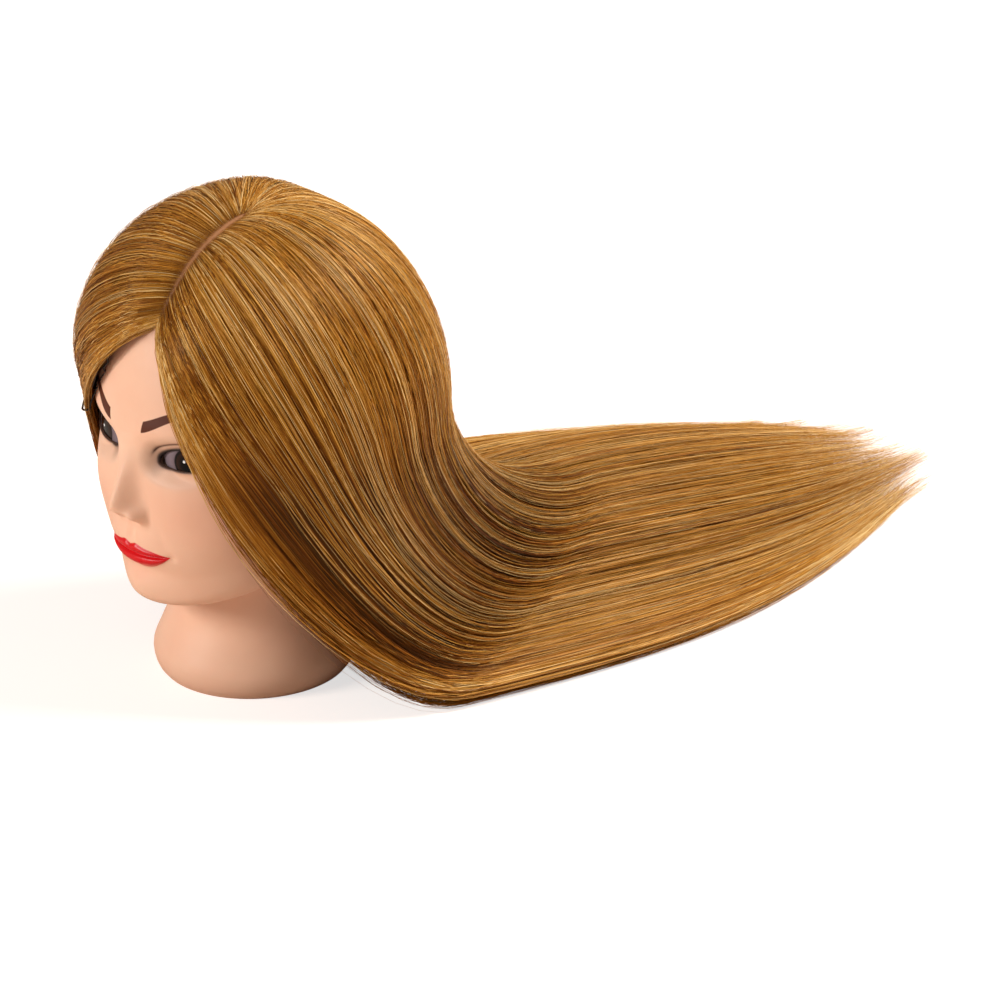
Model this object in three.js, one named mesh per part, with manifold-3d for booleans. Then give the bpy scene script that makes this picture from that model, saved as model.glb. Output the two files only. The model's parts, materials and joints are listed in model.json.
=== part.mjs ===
// Mannequin training head: a soft vinyl head with rooted long hair, parted and combed back over the table.
// Millimetres, +Z up. The face looks towards -Y and the head's own left side is +X.
// The hair falls from the parting, turns at the table top and lies out behind the head, towards +Y.
// The origin is on the table at the centre of the neck, where the clamp's post goes in.

import * as THREE from "three";
import { mergeVertices } from "three/addons/utils/BufferGeometryUtils.js";
import Module from "manifold-3d";

const wasm = await Module();
wasm.setup();

// ---------------------------------------------------------------- sizes

// Vinyl head
const baseRadius = 57; // widest part of the foot of the neck
const baseBulgeHeight = 14; // height of that widest part
const baseRoundIn = 4; // how far the foot rounds in at the table
const neckRadius = 45;
const neckHeight = 60; // where the neck meets the underside of the chin
const wall = 3.4; // vinyl thickness
const browHeight = 160; // height of the centre of the skull
const skullHalfWidth = 75;
const skullFront = 92; // from the skull's centre to the brow
const skullBack = 86; // from the skull's centre to the back of the head
const skullRise = 103; // from the skull's centre to the crown
const skullSetBack = 12; // skull centre behind the axis of the neck
const chinHeight = 57;
const faceSquareness = 2.4; // 2 is an ellipse in plan
const faceInset = 6; // the hollow lies this much deeper behind the face
const backOfNeckRise = 24; // the nape meets the skull this much above the chin
const backOfNeckDepth = 8; // and this much further back than a round neck

// Face
const noseLength = 13; // how far the tip stands off the face
const noseBridge = 32; // height from the tip up to the bridge
const noseTipHeight = 118;
const noseUnderside = 10; // height of the underside of the tip
const noseBridgeWidth = 5.5; // half widths
const noseTipWidth = 10.5;
const mouthHeight = 91;

// Eyes
const eyeHeight = 148;
const eyeApart = 67; // between the centres of the eyes
const eyeDomeRadius = 24;
const eyeRimRadius = 17;
const eyeThickness = 10;
const eyeSetBack = 10.5; // front of the eye behind the bridge of the nose
const eyeTurnOut = 12; // degrees
const eyelid = 2; // thickness of the lids over the eye
const eyeOpening = 31; // corner to corner
const eyeOpeningHeight = 12;
const eyeSlant = 4.5; // outer corner above the inner one

// Core, socket and base plate
const socketMouthRadius = 12.5;
const socketTopRadius = 11.5;
const socketDepth = 75;
const socketWall = 2.5;
const socketCap = 3; // closed top end
const flangeRadius = 22;
const flangeThickness = 2.5;
const plateThickness = 5;
const coreFloor = 12; // underside of the foam above the table
const liningThickness = 1.2;
const liningEdgeHeight = 176; // the root lining covers the skull above this
const fit = 0.4; // clearance between pieces that seat in one another

// Hair
const sectionCount = 14;
const sectionGap = 0.11; // share of a section left open beside the next one
const hairStart = 2; // clearance of the hair from the scalp
const hairLift = 5; // more beside the face, where it stands clear of the eyes
const hairAtParting = 4; // thickness at the parting
const hairAtSides = 20; // thickness where it leaves the head
const hairAtEdges = 4; // thickness beside the face
const thickensOver = 1.16; // the thickness grows over this share of the way down the scalp
const rightVolume = 1.5; // the right side is drawn back fuller than the left
const partingFrontX = 10; // the parting starts a little left of the centre
const partingFrontY = -62;
const partingBackX = 3; // and ends near it, at the crown
const partingBackY = 2;
const partingGap = 1.2; // bare scalp on each side of the parting
const crownSpread = 4; // more between the roots at the crown
const crownRow = 5; // length of the row of roots behind the parting
const leftEdgeTurn = -54; // degrees from +X: where the hair ends beside the face, left
const rightEdgeTurn = 231; // and right, where it is drawn back over the temple
const leaveDrop = 0.1; // how far below the skull's centre the hair leaves it, in skull rises
const landReach = 130; // how far back a lock travels as it falls
const innerReach = 0.86; // share of it that the innermost hair travels
const stiffness = 0.36; // share of the fall over which a lock keeps its heading
const landMiddleX = 6;
const landHalfSpread = 124; // half the width of the hair where it meets the table
const evenSpread = 0.4; // 0 spaces the locks evenly across the table, 1 crowds them to the sides
const heapHeight = 44; // thickness of the hair on the table behind the neck
const leftHeapHeight = 9; // and along each side
const rightHeapHeight = 41;
const heapFall = 1.7; // 1 is a straight slope from the heap to the tips, and more keeps it full for longer
const tailBulge = 32; // how far each side swells out along the table
const tipMiddleX = 28;
const tipHalfSpread = 80;
const tailLength = 503; // from the neck's axis to the furthest tips
const tipTaper = 60; // the outer locks end this much sooner
const tipHeight = 4;
const tableGap = 0.4;

// Hair pin
const pinWire = 0.6; // radius
const pinLegApart = 4;
const pinLength = 50;
const pinBendAlong = 0.9; // where the bend is: 0 at the parting, 1 where the hair leaves the head
const pinDepth = 0.7; // how deep in the hair, 1 at its surface
const pinTravel = 55;
const pinClear = 0.5; // between the wire and the hair beside it
const pinRunOut = 8; // the slot runs on this much past the pin's travel

// ---------------------------------------------------------------- materials

function finish(color, roughness, metalness = 0) {
  return new THREE.MeshStandardMaterial({ color, roughness, metalness });
}

const vinyl = finish(0xf2bfa2, 0.45);
const foam = finish(0xe9dfbf, 0.9);
const plastic = finish(0xe6b79c, 0.4);
const glue = finish(0xd9cdb6, 0.6);
const eyeGloss = finish(0x3a2c28, 0.12);
const wire = finish(0x15130f, 0.3, 0.6);
const hair = [0xb07a36, 0xa87030, 0xbc8640].map((c) => finish(c, 0.4));

// ---------------------------------------------------------------- helpers

const { degToRad: radians, lerp, smoothstep: ease } = THREE.MathUtils;
const bump = (x, width) => Math.exp(-((x / width) ** 2));

// A closed surface through rings of points, with a fan over the first and the last ring.
function skinOver(rings) {
  const around = rings[0].length;
  const points = rings.flat();
  const faces = [];
  for (let i = 0; i + 1 < rings.length; i++) {
    for (let j = 0; j < around; j++) {
      const a = i * around + j;
      const b = i * around + ((j + 1) % around);
      faces.push(a, b, b + around, a, b + around, a + around);
    }
  }
  const centre = (ring) => ring.reduce((sum, p) => sum.add(p), new THREE.Vector3()).divideScalar(around);
  const low = points.push(centre(rings[0])) - 1;
  const high = points.push(centre(rings.at(-1))) - 1;
  const last = (rings.length - 1) * around;
  for (let j = 0; j < around; j++) {
    const next = (j + 1) % around;
    faces.push(low, next, j, high, last + j, last + next);
  }
  return new THREE.BufferGeometry().setFromPoints(points).setIndex(faces);
}

function solidOf(geometry) {
  const bare = geometry.clone();
  bare.deleteAttribute("normal");
  bare.deleteAttribute("uv");
  const merged = mergeVertices(bare, 1e-4);
  return new wasm.Manifold(
    new wasm.Mesh({
      numProp: 3,
      vertProperties: new Float32Array(merged.attributes.position.array),
      triVerts: new Uint32Array(merged.index.array),
    }),
  );
}

function geometryOf(solid) {
  const mesh = solid.getMesh();
  return new THREE.BufferGeometry()
    .setAttribute("position", new THREE.BufferAttribute(mesh.vertProperties, 3))
    .setIndex(new THREE.BufferAttribute(mesh.triVerts, 1));
}

// An upright cylinder centred on the origin.
const roundSides = 28;
const drum = (radius, height) =>
  new THREE.CylinderGeometry(radius, radius, height, roundSides).rotateX(Math.PI / 2);

// ---------------------------------------------------------------- shape of the head

const skullCentre = new THREE.Vector3(0, skullSetBack, browHeight);

// A point on the skull, or off it by a distance, in a direction given on the unit sphere.
function onSkull(direction, off = 0) {
  const depth = direction.y < 0 ? skullFront : skullBack;
  return new THREE.Vector3(
    direction.x * (skullHalfWidth + off),
    direction.y * (depth + off),
    direction.z * (skullRise + off),
  ).add(skullCentre);
}

const faceY = skullSetBack - skullFront;
const backY = skullSetBack + skullBack;

// The outline in rings, each leaning from its front point to its back point.
// [front Y, front Z, back Y, back Z, half width]
const flare = (share) => lerp(neckRadius, baseRadius, share);
const footRings = [
  [-baseRadius + baseRoundIn, 0, baseRadius - baseRoundIn, 0, baseRadius - baseRoundIn],
  [-baseRadius + 1, baseBulgeHeight / 3, baseRadius - 1, baseBulgeHeight / 3, baseRadius - 1],
  [-baseRadius, baseBulgeHeight, baseRadius, baseBulgeHeight, baseRadius],
  [-flare(0.6), baseBulgeHeight + 11, flare(0.65), baseBulgeHeight + 16, flare(0.6)],
  [-flare(0.1), baseBulgeHeight + 25, flare(0.4), baseBulgeHeight + 38, flare(0.12)],
  [-neckRadius, neckHeight, neckRadius + backOfNeckDepth, neckHeight + backOfNeckRise, neckRadius + 1],
];
// Throat, jaw and face, as shares of the skull's size.
// [share of the front Y, height in front, share of the back Y, height behind, share of the half width]
const jawRings = [
  [0.63, chinHeight + 3, 0.57, 100, 0.7],
  [0.76, chinHeight, 0.66, 110, 0.77],
  [0.86, chinHeight + 1, 0.75, 119, 0.81],
  [0.92, chinHeight + 5, 0.83, 127, 0.84],
  [0.94, chinHeight + 12, 0.89, 134, 0.87],
  [0.945, chinHeight + 19, 0.93, 140, 0.895],
  [0.96, 84, 0.955, 144, 0.92],
  [0.975, 91, 0.97, 148, 0.94],
  [0.985, 98, 0.982, 151, 0.955],
  [0.99, 106, 0.989, 153, 0.97],
  [0.995, 115, 0.994, 155, 0.98],
  [0.998, 124, 0.997, 156.5, 0.988],
  [1, 133, 0.999, 158, 0.994],
  [1, 142, 1, 159, 0.998],
  [1, 151, 1, 159.5, 1],
].map(([front, low, rear, high, wide]) => [front * faceY, low, rear * backY, high, wide * skullHalfWidth]);
const domeSteps = 10;
const domeRings = Array.from({ length: domeSteps }, (_, i) => {
  const rise = (i / domeSteps) * (Math.PI / 2);
  const z = browHeight + skullRise * Math.sin(rise);
  const out = Math.cos(rise);
  return [skullSetBack - skullFront * out, z, skullSetBack + skullBack * out, z, skullHalfWidth * out];
});
const headRings = [...footRings, ...jawRings, ...domeRings];

// Soft mounds and hollows of the face: [how far forward, from the middle, height, half width, half height]
const faceMounds = [
  [-5, eyeApart / 2, eyeHeight, 15, 11], // eye sockets
  [1.5, 0, eyeHeight + 14, 42, 7], // brow
  [4, 0, mouthHeight, 17, 7.5], // lips
  [-1.6, 0, mouthHeight + 0.5, 21, 2], // line between the lips
  [-2, 0, mouthHeight - 12, 17, 5], // under the lip
  [3, 0, chinHeight + 10, 15, 9], // chin
  [1.5, 38, 120, 15, 15], // cheeks
];

// How far the face stands forward of the plain outline.
function feature(x, z) {
  const down = (noseTipHeight + noseBridge - z) / noseBridge;
  const tipped = 1 - ease(noseTipHeight - z, 0, noseUnderside);
  const noseHeight = down > 0 ? noseLength * Math.min(down, 1) ** 1.2 * tipped : 0;
  const nose = noseHeight * bump(x, lerp(noseBridgeWidth, noseTipWidth, THREE.MathUtils.clamp(down, 0, 1)));
  return faceMounds.reduce(
    (sum, [forward, middle, height, halfWidth, halfHeight]) =>
      sum + forward * bump(Math.abs(x) - middle, halfWidth) * bump(z - height, halfHeight),
    nose,
  );
}

// Turns round the head, closer together across the face. 0 is the front.
const turnsAround = (count, crowding) =>
  Array.from({ length: count }, (_, j) => {
    const t = (j / count) * 2 - 1;
    return Math.PI * Math.sign(t) * Math.abs(t) ** crowding;
  });
const faceTurns = turnsAround(36, 1.35);
const plainTurns = turnsAround(24, 1);

function headRing([frontY, frontZ, rearY, rearZ, halfWidth], withFace) {
  return (withFace ? faceTurns : plainTurns).map((turn) => {
    const c = Math.cos(turn);
    const s = Math.sin(turn);
    const level = ease(frontZ, chinHeight + 8, 110) * (1 - ease(frontZ, 160, 205));
    const square = c > 0 ? lerp(2, faceSquareness, level) : 2;
    const swell = (Math.abs(c) ** square + Math.abs(s) ** square) ** (-1 / square);
    const point = new THREE.Vector3(
      halfWidth * s * swell,
      (frontY + rearY) / 2 + ((frontY - rearY) / 2) * c * swell,
      (frontZ + rearZ) / 2 + ((frontZ - rearZ) / 2) * c,
    );
    if (withFace && c > 0) point.y -= feature(point.x, point.z) * ease(c, 0.05, 0.5);
    return point;
  });
}

// The hollow inside the vinyl, or the foam that fills it when it is made smaller by a clearance.
// It runs plain behind the face, set further back there to clear the eye sockets.
function hollow(less, floor) {
  const tube = neckRadius - wall - less;
  const inset = wall + less;
  const throat = neckHeight + backOfNeckDepth + less;
  const rings = [
    [-tube, floor, tube, floor, tube],
    [-tube, throat, tube, throat + backOfNeckRise + 2, tube],
  ];
  const inner = [...jawRings.slice(3), ...domeRings].filter((_, i) => i % 2 === 0);
  for (const [frontY, frontZ, rearY, rearZ, halfWidth] of inner) {
    const near = halfWidth / skullHalfWidth;
    const raise = (z) => z + inset * (z < browHeight ? 1 : (browHeight - z) / skullRise);
    const overChin = frontZ < browHeight / 2 ? 4 : 0;
    rings.push([
      frontY + (inset + faceInset) * near,
      raise(frontZ) + overChin,
      rearY - inset * near,
      raise(rearZ),
      halfWidth - inset * near,
    ]);
  }
  return skinOver(rings.map((ring) => headRing(ring, false)));
}

// ---------------------------------------------------------------- eyes

// A domed plug whose axis, +Y here, looks forward and a little outward. grow makes the pocket it sits in.
function eyeGeometry(grow) {
  const rim = eyeRimRadius + grow;
  const dome = eyeDomeRadius + grow;
  const rear = -eyeThickness - grow;
  const profile = [new THREE.Vector2(0, rear), new THREE.Vector2(rim, rear)];
  const steps = 4;
  const edge = Math.asin(rim / dome);
  for (let i = 0; i <= steps; i++) {
    const a = edge * (1 - i / steps);
    const radius = i === steps ? 0 : dome * Math.sin(a);
    profile.push(new THREE.Vector2(radius, dome * Math.cos(a) - eyeDomeRadius));
  }
  return new THREE.LatheGeometry(profile, 18);
}

function eyePose(side) {
  const turn = new THREE.Matrix4().makeRotationZ(side * radians(eyeTurnOut));
  const lay = new THREE.Matrix4().makeRotationX(Math.PI);
  return turn.multiply(lay).setPosition((side * eyeApart) / 2, faceY + eyeSetBack, eyeHeight);
}

// The opening between the lids, almond-shaped.
function eyeOpeningCut(side) {
  const out = (side * eyeOpening) / 2;
  const tilt = eyeSlant / 2;
  const upper = eyeOpeningHeight * 0.76;
  const lower = eyeOpeningHeight * 0.6;
  const almond = new THREE.Shape().moveTo(-out, -tilt);
  almond.bezierCurveTo(-out / 2, upper - tilt, out / 3, upper, out, tilt);
  almond.bezierCurveTo(out / 2, -lower + tilt, -out / 3, -lower, -out, -tilt);
  const cut = new THREE.ExtrudeGeometry(almond, { depth: 30, bevelEnabled: false, curveSegments: 6 });
  cut.rotateX(-Math.PI / 2).translate(0, -eyeThickness * 0.7, 0);
  return solidOf(cut.applyMatrix4(eyePose(side)));
}

// The eye's own shape, or a larger one for its pocket or the lids over it.
const eyeSolid = (side, grow) => solidOf(eyeGeometry(grow).applyMatrix4(eyePose(side)));

// ---------------------------------------------------------------- hair

// Where a lock starts and leaves the head, by how far round it is: 0 left of the face, 1 right of it.
function lockOf(around) {
  const turn = radians(lerp(leftEdgeTurn, rightEdgeTurn, around));
  const middle = Math.sin(Math.PI * around);
  const across = lerp(1 - 2 * around, Math.cos(Math.PI * around), evenSpread);
  const back = ease(middle, 0.05, 0.85);
  const side = THREE.MathUtils.clamp(Math.cos(Math.PI * around) * 2.2, -1, 1);
  const rootX = lerp(partingFrontX, partingBackX, back) + side * (partingGap + crownSpread * back);
  const rootY = lerp(partingFrontY, partingBackY, back) + crownRow * Math.max(0, (middle - 0.85) / 0.15);
  const root = new THREE.Vector3(
    rootX / skullHalfWidth,
    (rootY - skullSetBack) / (rootY < skullSetBack ? skullFront : skullBack),
    0,
  );
  root.z = Math.sqrt(1 - root.x ** 2 - root.y ** 2);
  const level = Math.sqrt(1 - leaveDrop ** 2);
  const leave = new THREE.Vector3(Math.cos(turn) * level, Math.sin(turn) * level, -leaveDrop);
  return { root, leave, middle, across };
}

// A point along the arc over the scalp from the root to where the lock leaves the head.
function overScalp(lock, along, depth) {
  const angle = lock.root.angleTo(lock.leave);
  const direction = lock.root
    .clone()
    .multiplyScalar(Math.sin((1 - along) * angle))
    .addScaledVector(lock.leave, Math.sin(along * angle))
    .divideScalar(Math.sin(angle));
  const volume = lerp(1, rightVolume, ease(-lock.across, 0, 0.5));
  const full = lerp(hairAtEdges, hairAtSides * volume, ease(lock.middle, 0, 0.6));
  const thickness = lerp(hairAtParting, full, ease(along, -0.1, thickensOver / volume));
  const lift = hairLift * ease(along, 0, 0.7) * (1 - ease(lock.middle, 0.2, 0.65));
  return onSkull(direction, hairStart + lift + thickness * depth);
}

// Where a line of hair meets the table, after which it lies along it.
function landingOf(lock, depth, leave) {
  const edge = lock.across > 0 ? leftHeapHeight : rightHeapHeight;
  const heap = lerp(edge, heapHeight, lock.middle ** 1.5);
  return new THREE.Vector3(
    landMiddleX + landHalfSpread * lock.across * lerp(0.97, 1, depth),
    leave.y + lerp(innerReach, 1, depth) * landReach,
    tableGap + heap * depth,
  );
}

// The fall from the head to the table, in one bend.
function fallOf(lock, depth, leave, land) {
  const heading = leave.clone().sub(overScalp(lock, 0.94, depth)).normalize();
  const hang = leave.clone().addScaledVector(heading, (leave.z - land.z) * stiffness);
  const bend = new THREE.Vector3(lerp(leave.x, land.x, 0.86), lerp(leave.y, land.y, 0.48), land.z);
  return new THREE.CubicBezierCurve3(leave, hang, bend, land);
}

// A point of the tail that lies on the table, from the landing to the tips.
function onTable(lock, depth, land, along) {
  const tipY = tailLength - tipTaper * Math.abs(lock.across) ** 2.5;
  const tipX = tipMiddleX + tipHalfSpread * lock.across;
  const swell = tailBulge * lock.across * Math.sin(Math.PI * along);
  const settle = 1 - (1 - along) ** 2;
  return new THREE.Vector3(
    lerp(land.x, tipX, along) + swell + (tipMiddleX - landMiddleX) * (settle - along),
    lerp(land.y, tipY, along),
    lerp(land.z, tableGap + tipHeight * depth, along ** heapFall),
  );
}

const scalpSteps = 7;
const fallSteps = 8;
const tailSteps = 6;

// Points along one line of hair, from the parting to its tip.
function hairLine(around, depth) {
  const lock = lockOf(around);
  const leave = overScalp(lock, 1, depth);
  const land = landingOf(lock, depth, leave);
  const fall = fallOf(lock, depth, leave, land);
  const upTo = (steps) => Array.from({ length: steps }, (_, i) => i / steps);
  return [
    ...upTo(scalpSteps).map((along) => overScalp(lock, along, depth)),
    ...upTo(fallSteps).map((along) => fall.getPoint(along)),
    ...[...upTo(tailSteps), 1].map((along) => onTable(lock, depth, land, along)),
  ];
}

// One section of hair: a lock with rounded outer corners. Each pair is [share of its width, depth].
const sectionOutline = [[0, 0], [0.5, 0], [1, 0], [1, 0.7], [0.78, 1], [0.5, 1], [0.22, 1], [0, 0.7]];

function sectionGeometry(index) {
  const from = (index + sectionGap / 2) / sectionCount;
  const to = (index + 1 - sectionGap / 2) / sectionCount;
  const lines = sectionOutline.map(([across, depth]) => hairLine(lerp(from, to, across), depth));
  const rings = lines[0].map((_, i) => lines.map((line) => line[i]));
  return skinOver(rings);
}

// ---------------------------------------------------------------- hair pin

// The pin lies along the front edge of the hair on the right, its bend at the bottom.
const pinLock = lockOf(1);
const pinFoot = overScalp(pinLock, pinBendAlong, pinDepth);
const pinUp = overScalp(pinLock, pinBendAlong * 0.5, pinDepth).sub(pinFoot).normalize();
const pinSide = pinUp.clone().cross(pinFoot.clone().sub(skullCentre)).normalize();
const pinOut = pinSide.clone().cross(pinUp).normalize();

// The wire: a leg, the bend and the other leg, as rings round its centre line.
function pinGeometry() {
  const half = pinLegApart / 2;
  const bendSteps = 8;
  const sides = 8;
  const stations = [{ out: half, up: pinLength, angle: 0 }];
  for (let i = 0; i <= bendSteps; i++) {
    const angle = (i / bendSteps) * Math.PI;
    stations.push({ out: half * Math.cos(angle), up: half - half * Math.sin(angle), angle });
  }
  stations.push({ out: -half, up: pinLength, angle: Math.PI });
  const rings = stations.map(({ out, up, angle }) =>
    Array.from({ length: sides }, (_, k) => {
      const a = (k / sides) * 2 * Math.PI;
      const away = pinWire * Math.cos(a);
      return pinFoot
        .clone()
        .addScaledVector(pinOut, out + away * Math.cos(angle))
        .addScaledVector(pinUp, up - away * Math.sin(angle))
        .addScaledVector(pinSide, -pinWire * Math.sin(a));
    }),
  );
  return skinOver(rings);
}

// The way the pin slides out: a flat slot as wide as the pin, open downwards.
function pinSlot() {
  const length = pinLength + pinTravel + pinRunOut;
  const room = 2 * (pinWire + pinClear);
  const slot = new THREE.BoxGeometry(pinLegApart + room, room, length);
  const pose = new THREE.Matrix4().makeBasis(pinOut, pinSide, pinUp);
  pose.setPosition(pinFoot.clone().addScaledVector(pinUp, pinLength + 2 * pinClear - length / 2));
  return solidOf(slot.applyMatrix4(pose));
}

// ---------------------------------------------------------------- pieces

const part = new THREE.Group();

function add(name, geometry, material) {
  const mesh = new THREE.Mesh(geometry, material);
  mesh.name = name;
  part.add(mesh);
  return mesh;
}

function addHeadSkin() {
  const outside = solidOf(skinOver(headRings.map((ring) => headRing(ring, true))));
  let skin = outside.subtract(solidOf(hollow(0, -plateThickness)));
  for (const side of [1, -1]) {
    skin = skin.add(eyeSolid(side, eyelid)).subtract(eyeOpeningCut(side)).subtract(eyeSolid(side, fit));
  }
  add("head_skin", geometryOf(skin), vinyl);
}

// The foam that fills the head, bored for the socket and relieved for the eyes and the root lining.
function addFoamCore() {
  const block = solidOf(hollow(fit, coreFloor));
  const bore = drum(socketMouthRadius + socketWall + fit, 2 * (socketDepth + socketCap + fit));
  const aboveEdge = new THREE.BoxGeometry(400, 400, 200).translate(0, 0, liningEdgeHeight + 100 - fit);
  const lined = solidOf(aboveEdge).subtract(solidOf(hollow(liningThickness + 2 * fit, coreFloor)));
  const cups = eyeSolid(1, eyelid + fit).add(eyeSolid(-1, eyelid + fit));
  add("foam_core", geometryOf(block.subtract(solidOf(bore)).subtract(lined).subtract(cups)), foam);
}

// The film of adhesive inside the scalp that locks the knots of the hair.
function addRootLining() {
  const keep = new THREE.BoxGeometry(400, 400, 200).translate(0, 0, liningEdgeHeight + 100);
  const film = solidOf(hollow(fit, coreFloor))
    .subtract(solidOf(hollow(fit + liningThickness, coreFloor)))
    .intersect(solidOf(keep));
  add("hair_root_lining", geometryOf(film), glue);
}

// Tapered tube that takes a clamp's post, closed at the top, with a flange under the base plate's rim.
function addClampSocket() {
  const profile = [
    [0, socketDepth],
    [socketTopRadius, socketDepth],
    [socketMouthRadius, 0],
    [flangeRadius, 0],
    [flangeRadius, flangeThickness],
    [socketMouthRadius + socketWall, flangeThickness],
    [socketTopRadius + socketWall, socketDepth + socketCap],
    [0, socketDepth + socketCap],
  ].map(([r, z]) => new THREE.Vector2(r, z));
  const geometry = new THREE.LatheGeometry(profile, roundSides).rotateX(Math.PI / 2);
  add("clamp_socket", geometry, plastic);
}

// The disc that closes the neck round the socket, recessed for the socket's flange.
function addBasePlate() {
  const radius = neckRadius - wall - fit;
  const disc = [0, plateThickness].map((z) => headRing([-radius, z, radius, z, radius], false));
  const hole = solidOf(drum(socketMouthRadius + socketWall + fit, 4 * plateThickness));
  const recess = solidOf(drum(flangeRadius + fit, 2 * (flangeThickness + fit)));
  add("neck_base_plate", geometryOf(solidOf(skinOver(disc)).subtract(hole).subtract(recess)), plastic);
}

function addEyes() {
  for (const [name, side] of [["left_eye", 1], ["right_eye", -1]]) {
    add(name, eyeGeometry(0).applyMatrix4(eyePose(side)), eyeGloss);
  }
}

// Each section is relieved for the pin's way out and, where it comes near them, for the eyelids.
function addHair() {
  const relief = pinSlot().add(eyeSolid(1, eyelid + fit)).add(eyeSolid(-1, eyelid + fit));
  const left = ["fringe", "temple", "front", "side", "rear", "nape"].map((place) => "left_" + place);
  const right = left.map((name) => name.replace("left", "right")).reverse();
  const names = [...left, "back_left", "back_right", ...right];
  for (let i = 0; i < sectionCount; i++) {
    const lock = solidOf(sectionGeometry(i)).subtract(relief);
    add("hair_" + names[i], geometryOf(lock), hair[i % hair.length]);
  }
}

addHeadSkin();
addFoamCore();
addRootLining();
addClampSocket();
addBasePlate();
addEyes();
addHair();
add("hair_pin", pinGeometry(), wire);

export default part;
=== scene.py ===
# %% [markdown]
# # A practice head for hairdressing
# The object is a soft vinyl head with long, straight, honey-blonde hair. It stands on the foot of its neck,
# and the hair is parted near the middle, falls to the table and lies out behind the head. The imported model
# gives every piece its place. This script gives each one its looks: a smooth moulded face, painted
# features, glossy eyes, thousands of separate strands, and the steel pin at the temple.

import json
import math

import bpy
import numpy as np
from mathutils import Matrix, Vector
from mathutils.bvhtree import BVHTree


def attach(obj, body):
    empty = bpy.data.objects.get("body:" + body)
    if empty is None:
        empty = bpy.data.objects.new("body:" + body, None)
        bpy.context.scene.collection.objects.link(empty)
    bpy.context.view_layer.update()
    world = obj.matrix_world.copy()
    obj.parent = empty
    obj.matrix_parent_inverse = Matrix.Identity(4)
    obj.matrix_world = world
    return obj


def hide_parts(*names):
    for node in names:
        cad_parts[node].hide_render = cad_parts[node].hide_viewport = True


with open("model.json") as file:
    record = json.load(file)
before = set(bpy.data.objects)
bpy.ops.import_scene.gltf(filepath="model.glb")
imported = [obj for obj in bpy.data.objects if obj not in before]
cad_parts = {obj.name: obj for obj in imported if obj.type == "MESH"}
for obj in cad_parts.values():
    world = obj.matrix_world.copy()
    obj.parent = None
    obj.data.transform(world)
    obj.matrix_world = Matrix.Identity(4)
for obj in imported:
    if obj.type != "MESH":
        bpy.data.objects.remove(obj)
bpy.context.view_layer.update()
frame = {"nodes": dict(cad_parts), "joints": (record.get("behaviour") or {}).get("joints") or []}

# %% [markdown]
# ## Helpers
# Sizes are worked out in millimetres, as a maker measures them, and turned to metres when a mesh is made.
# Colours are written as sRGB hex, as a paint chart gives them, and one function turns them to the linear
# values that the shaders use. Random draws come from one seeded generator, so each run gives the same hair.

# %% Helpers
MM = 0.001
rng = np.random.default_rng(26)


def linear(hex_colour):
    """An sRGB hex colour as linear RGBA."""
    parts = [int(hex_colour[i:i + 2], 16) / 255 for i in (1, 3, 5)]
    return [c / 12.92 if c <= 0.04045 else ((c + 0.055) / 1.055) ** 2.4 for c in parts] + [1.0]


def lerp(a, b, t):
    """A mix of a and b, with a at 0 and b at 1."""
    return a + (b - a) * t


def ease(x, low, high):
    """0 below low, 1 above high, and a smooth step between."""
    t = np.clip((np.asarray(x, float) - low) / (high - low), 0, 1)
    return t * t * (3 - 2 * t)


def bump(x, width):
    """A bell curve: 1 where x is 0, and nearly 0 at twice the width."""
    return np.exp(-((np.asarray(x, float) / width) ** 2))


def unit(v):
    """Vectors scaled to length 1."""
    return v / np.maximum(np.linalg.norm(v, axis=-1, keepdims=True), 1e-9)


def grain(size):
    """The scale of a noise texture whose grains are size millimetres across."""
    return 1 / (size * MM)


def make_piece(name, points_mm, faces, material, smooth=True):
    """A mesh object from points in millimetres and faces of three or four corners each."""
    mesh = bpy.data.meshes.new(name)
    points = np.asarray(points_mm, np.float32).reshape(-1, 3) * MM
    faces = np.asarray(faces, np.int32)
    corners = faces.shape[1]
    mesh.vertices.add(len(points))
    mesh.vertices.foreach_set("co", points.ravel())
    mesh.loops.add(faces.size)
    mesh.loops.foreach_set("vertex_index", faces.ravel())
    mesh.polygons.add(len(faces))
    mesh.polygons.foreach_set("loop_start", np.arange(0, faces.size, corners, dtype=np.int32))
    mesh.polygons.foreach_set("use_smooth", np.full(len(faces), smooth))
    mesh.update(calc_edges=True)
    mesh.materials.append(material)
    piece = bpy.data.objects.new(name, mesh)
    bpy.context.scene.collection.objects.link(piece)
    return piece


def give(piece, name, values):
    """Stores one number for each point of the mesh, for its material to read."""
    layer = piece.data.attributes.new(name, "FLOAT", "POINT")
    layer.data.foreach_set("value", np.asarray(values, np.float32).ravel())


def lay_uv(piece, uv_of_points):
    """One UV map from a UV for each point."""
    mesh = piece.data
    index = np.empty(len(mesh.loops), np.int32)
    mesh.loops.foreach_get("vertex_index", index)
    layer = mesh.uv_layers.new(name="OFBake")
    layer.data.foreach_set("uv", np.asarray(uv_of_points, np.float32)[index].ravel())


def new_material(name):
    """A material, its Principled shader, a function that adds a node with its settings and links, and one
    that links two sockets. Inputs go by their name, with _ for a space, or by number: i0 is the first."""
    material = bpy.data.materials.new(name)
    material.use_nodes = True
    tree = material.node_tree
    shader = tree.nodes["Principled BSDF"]

    def node(kind, settings=None, **inputs):
        made = tree.nodes.new(kind)
        for key, value in (settings or {}).items():
            setattr(made, key, value)
        for key, value in inputs.items():
            numbered = key[0] == "i" and key[1:].isdigit()
            socket = made.inputs[int(key[1:]) if numbered else key.replace("_", " ")]
            if isinstance(value, bpy.types.NodeSocket):
                tree.links.new(value, socket)
            else:
                socket.default_value = value
        return made

    return material, shader, node, tree.links.new


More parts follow.
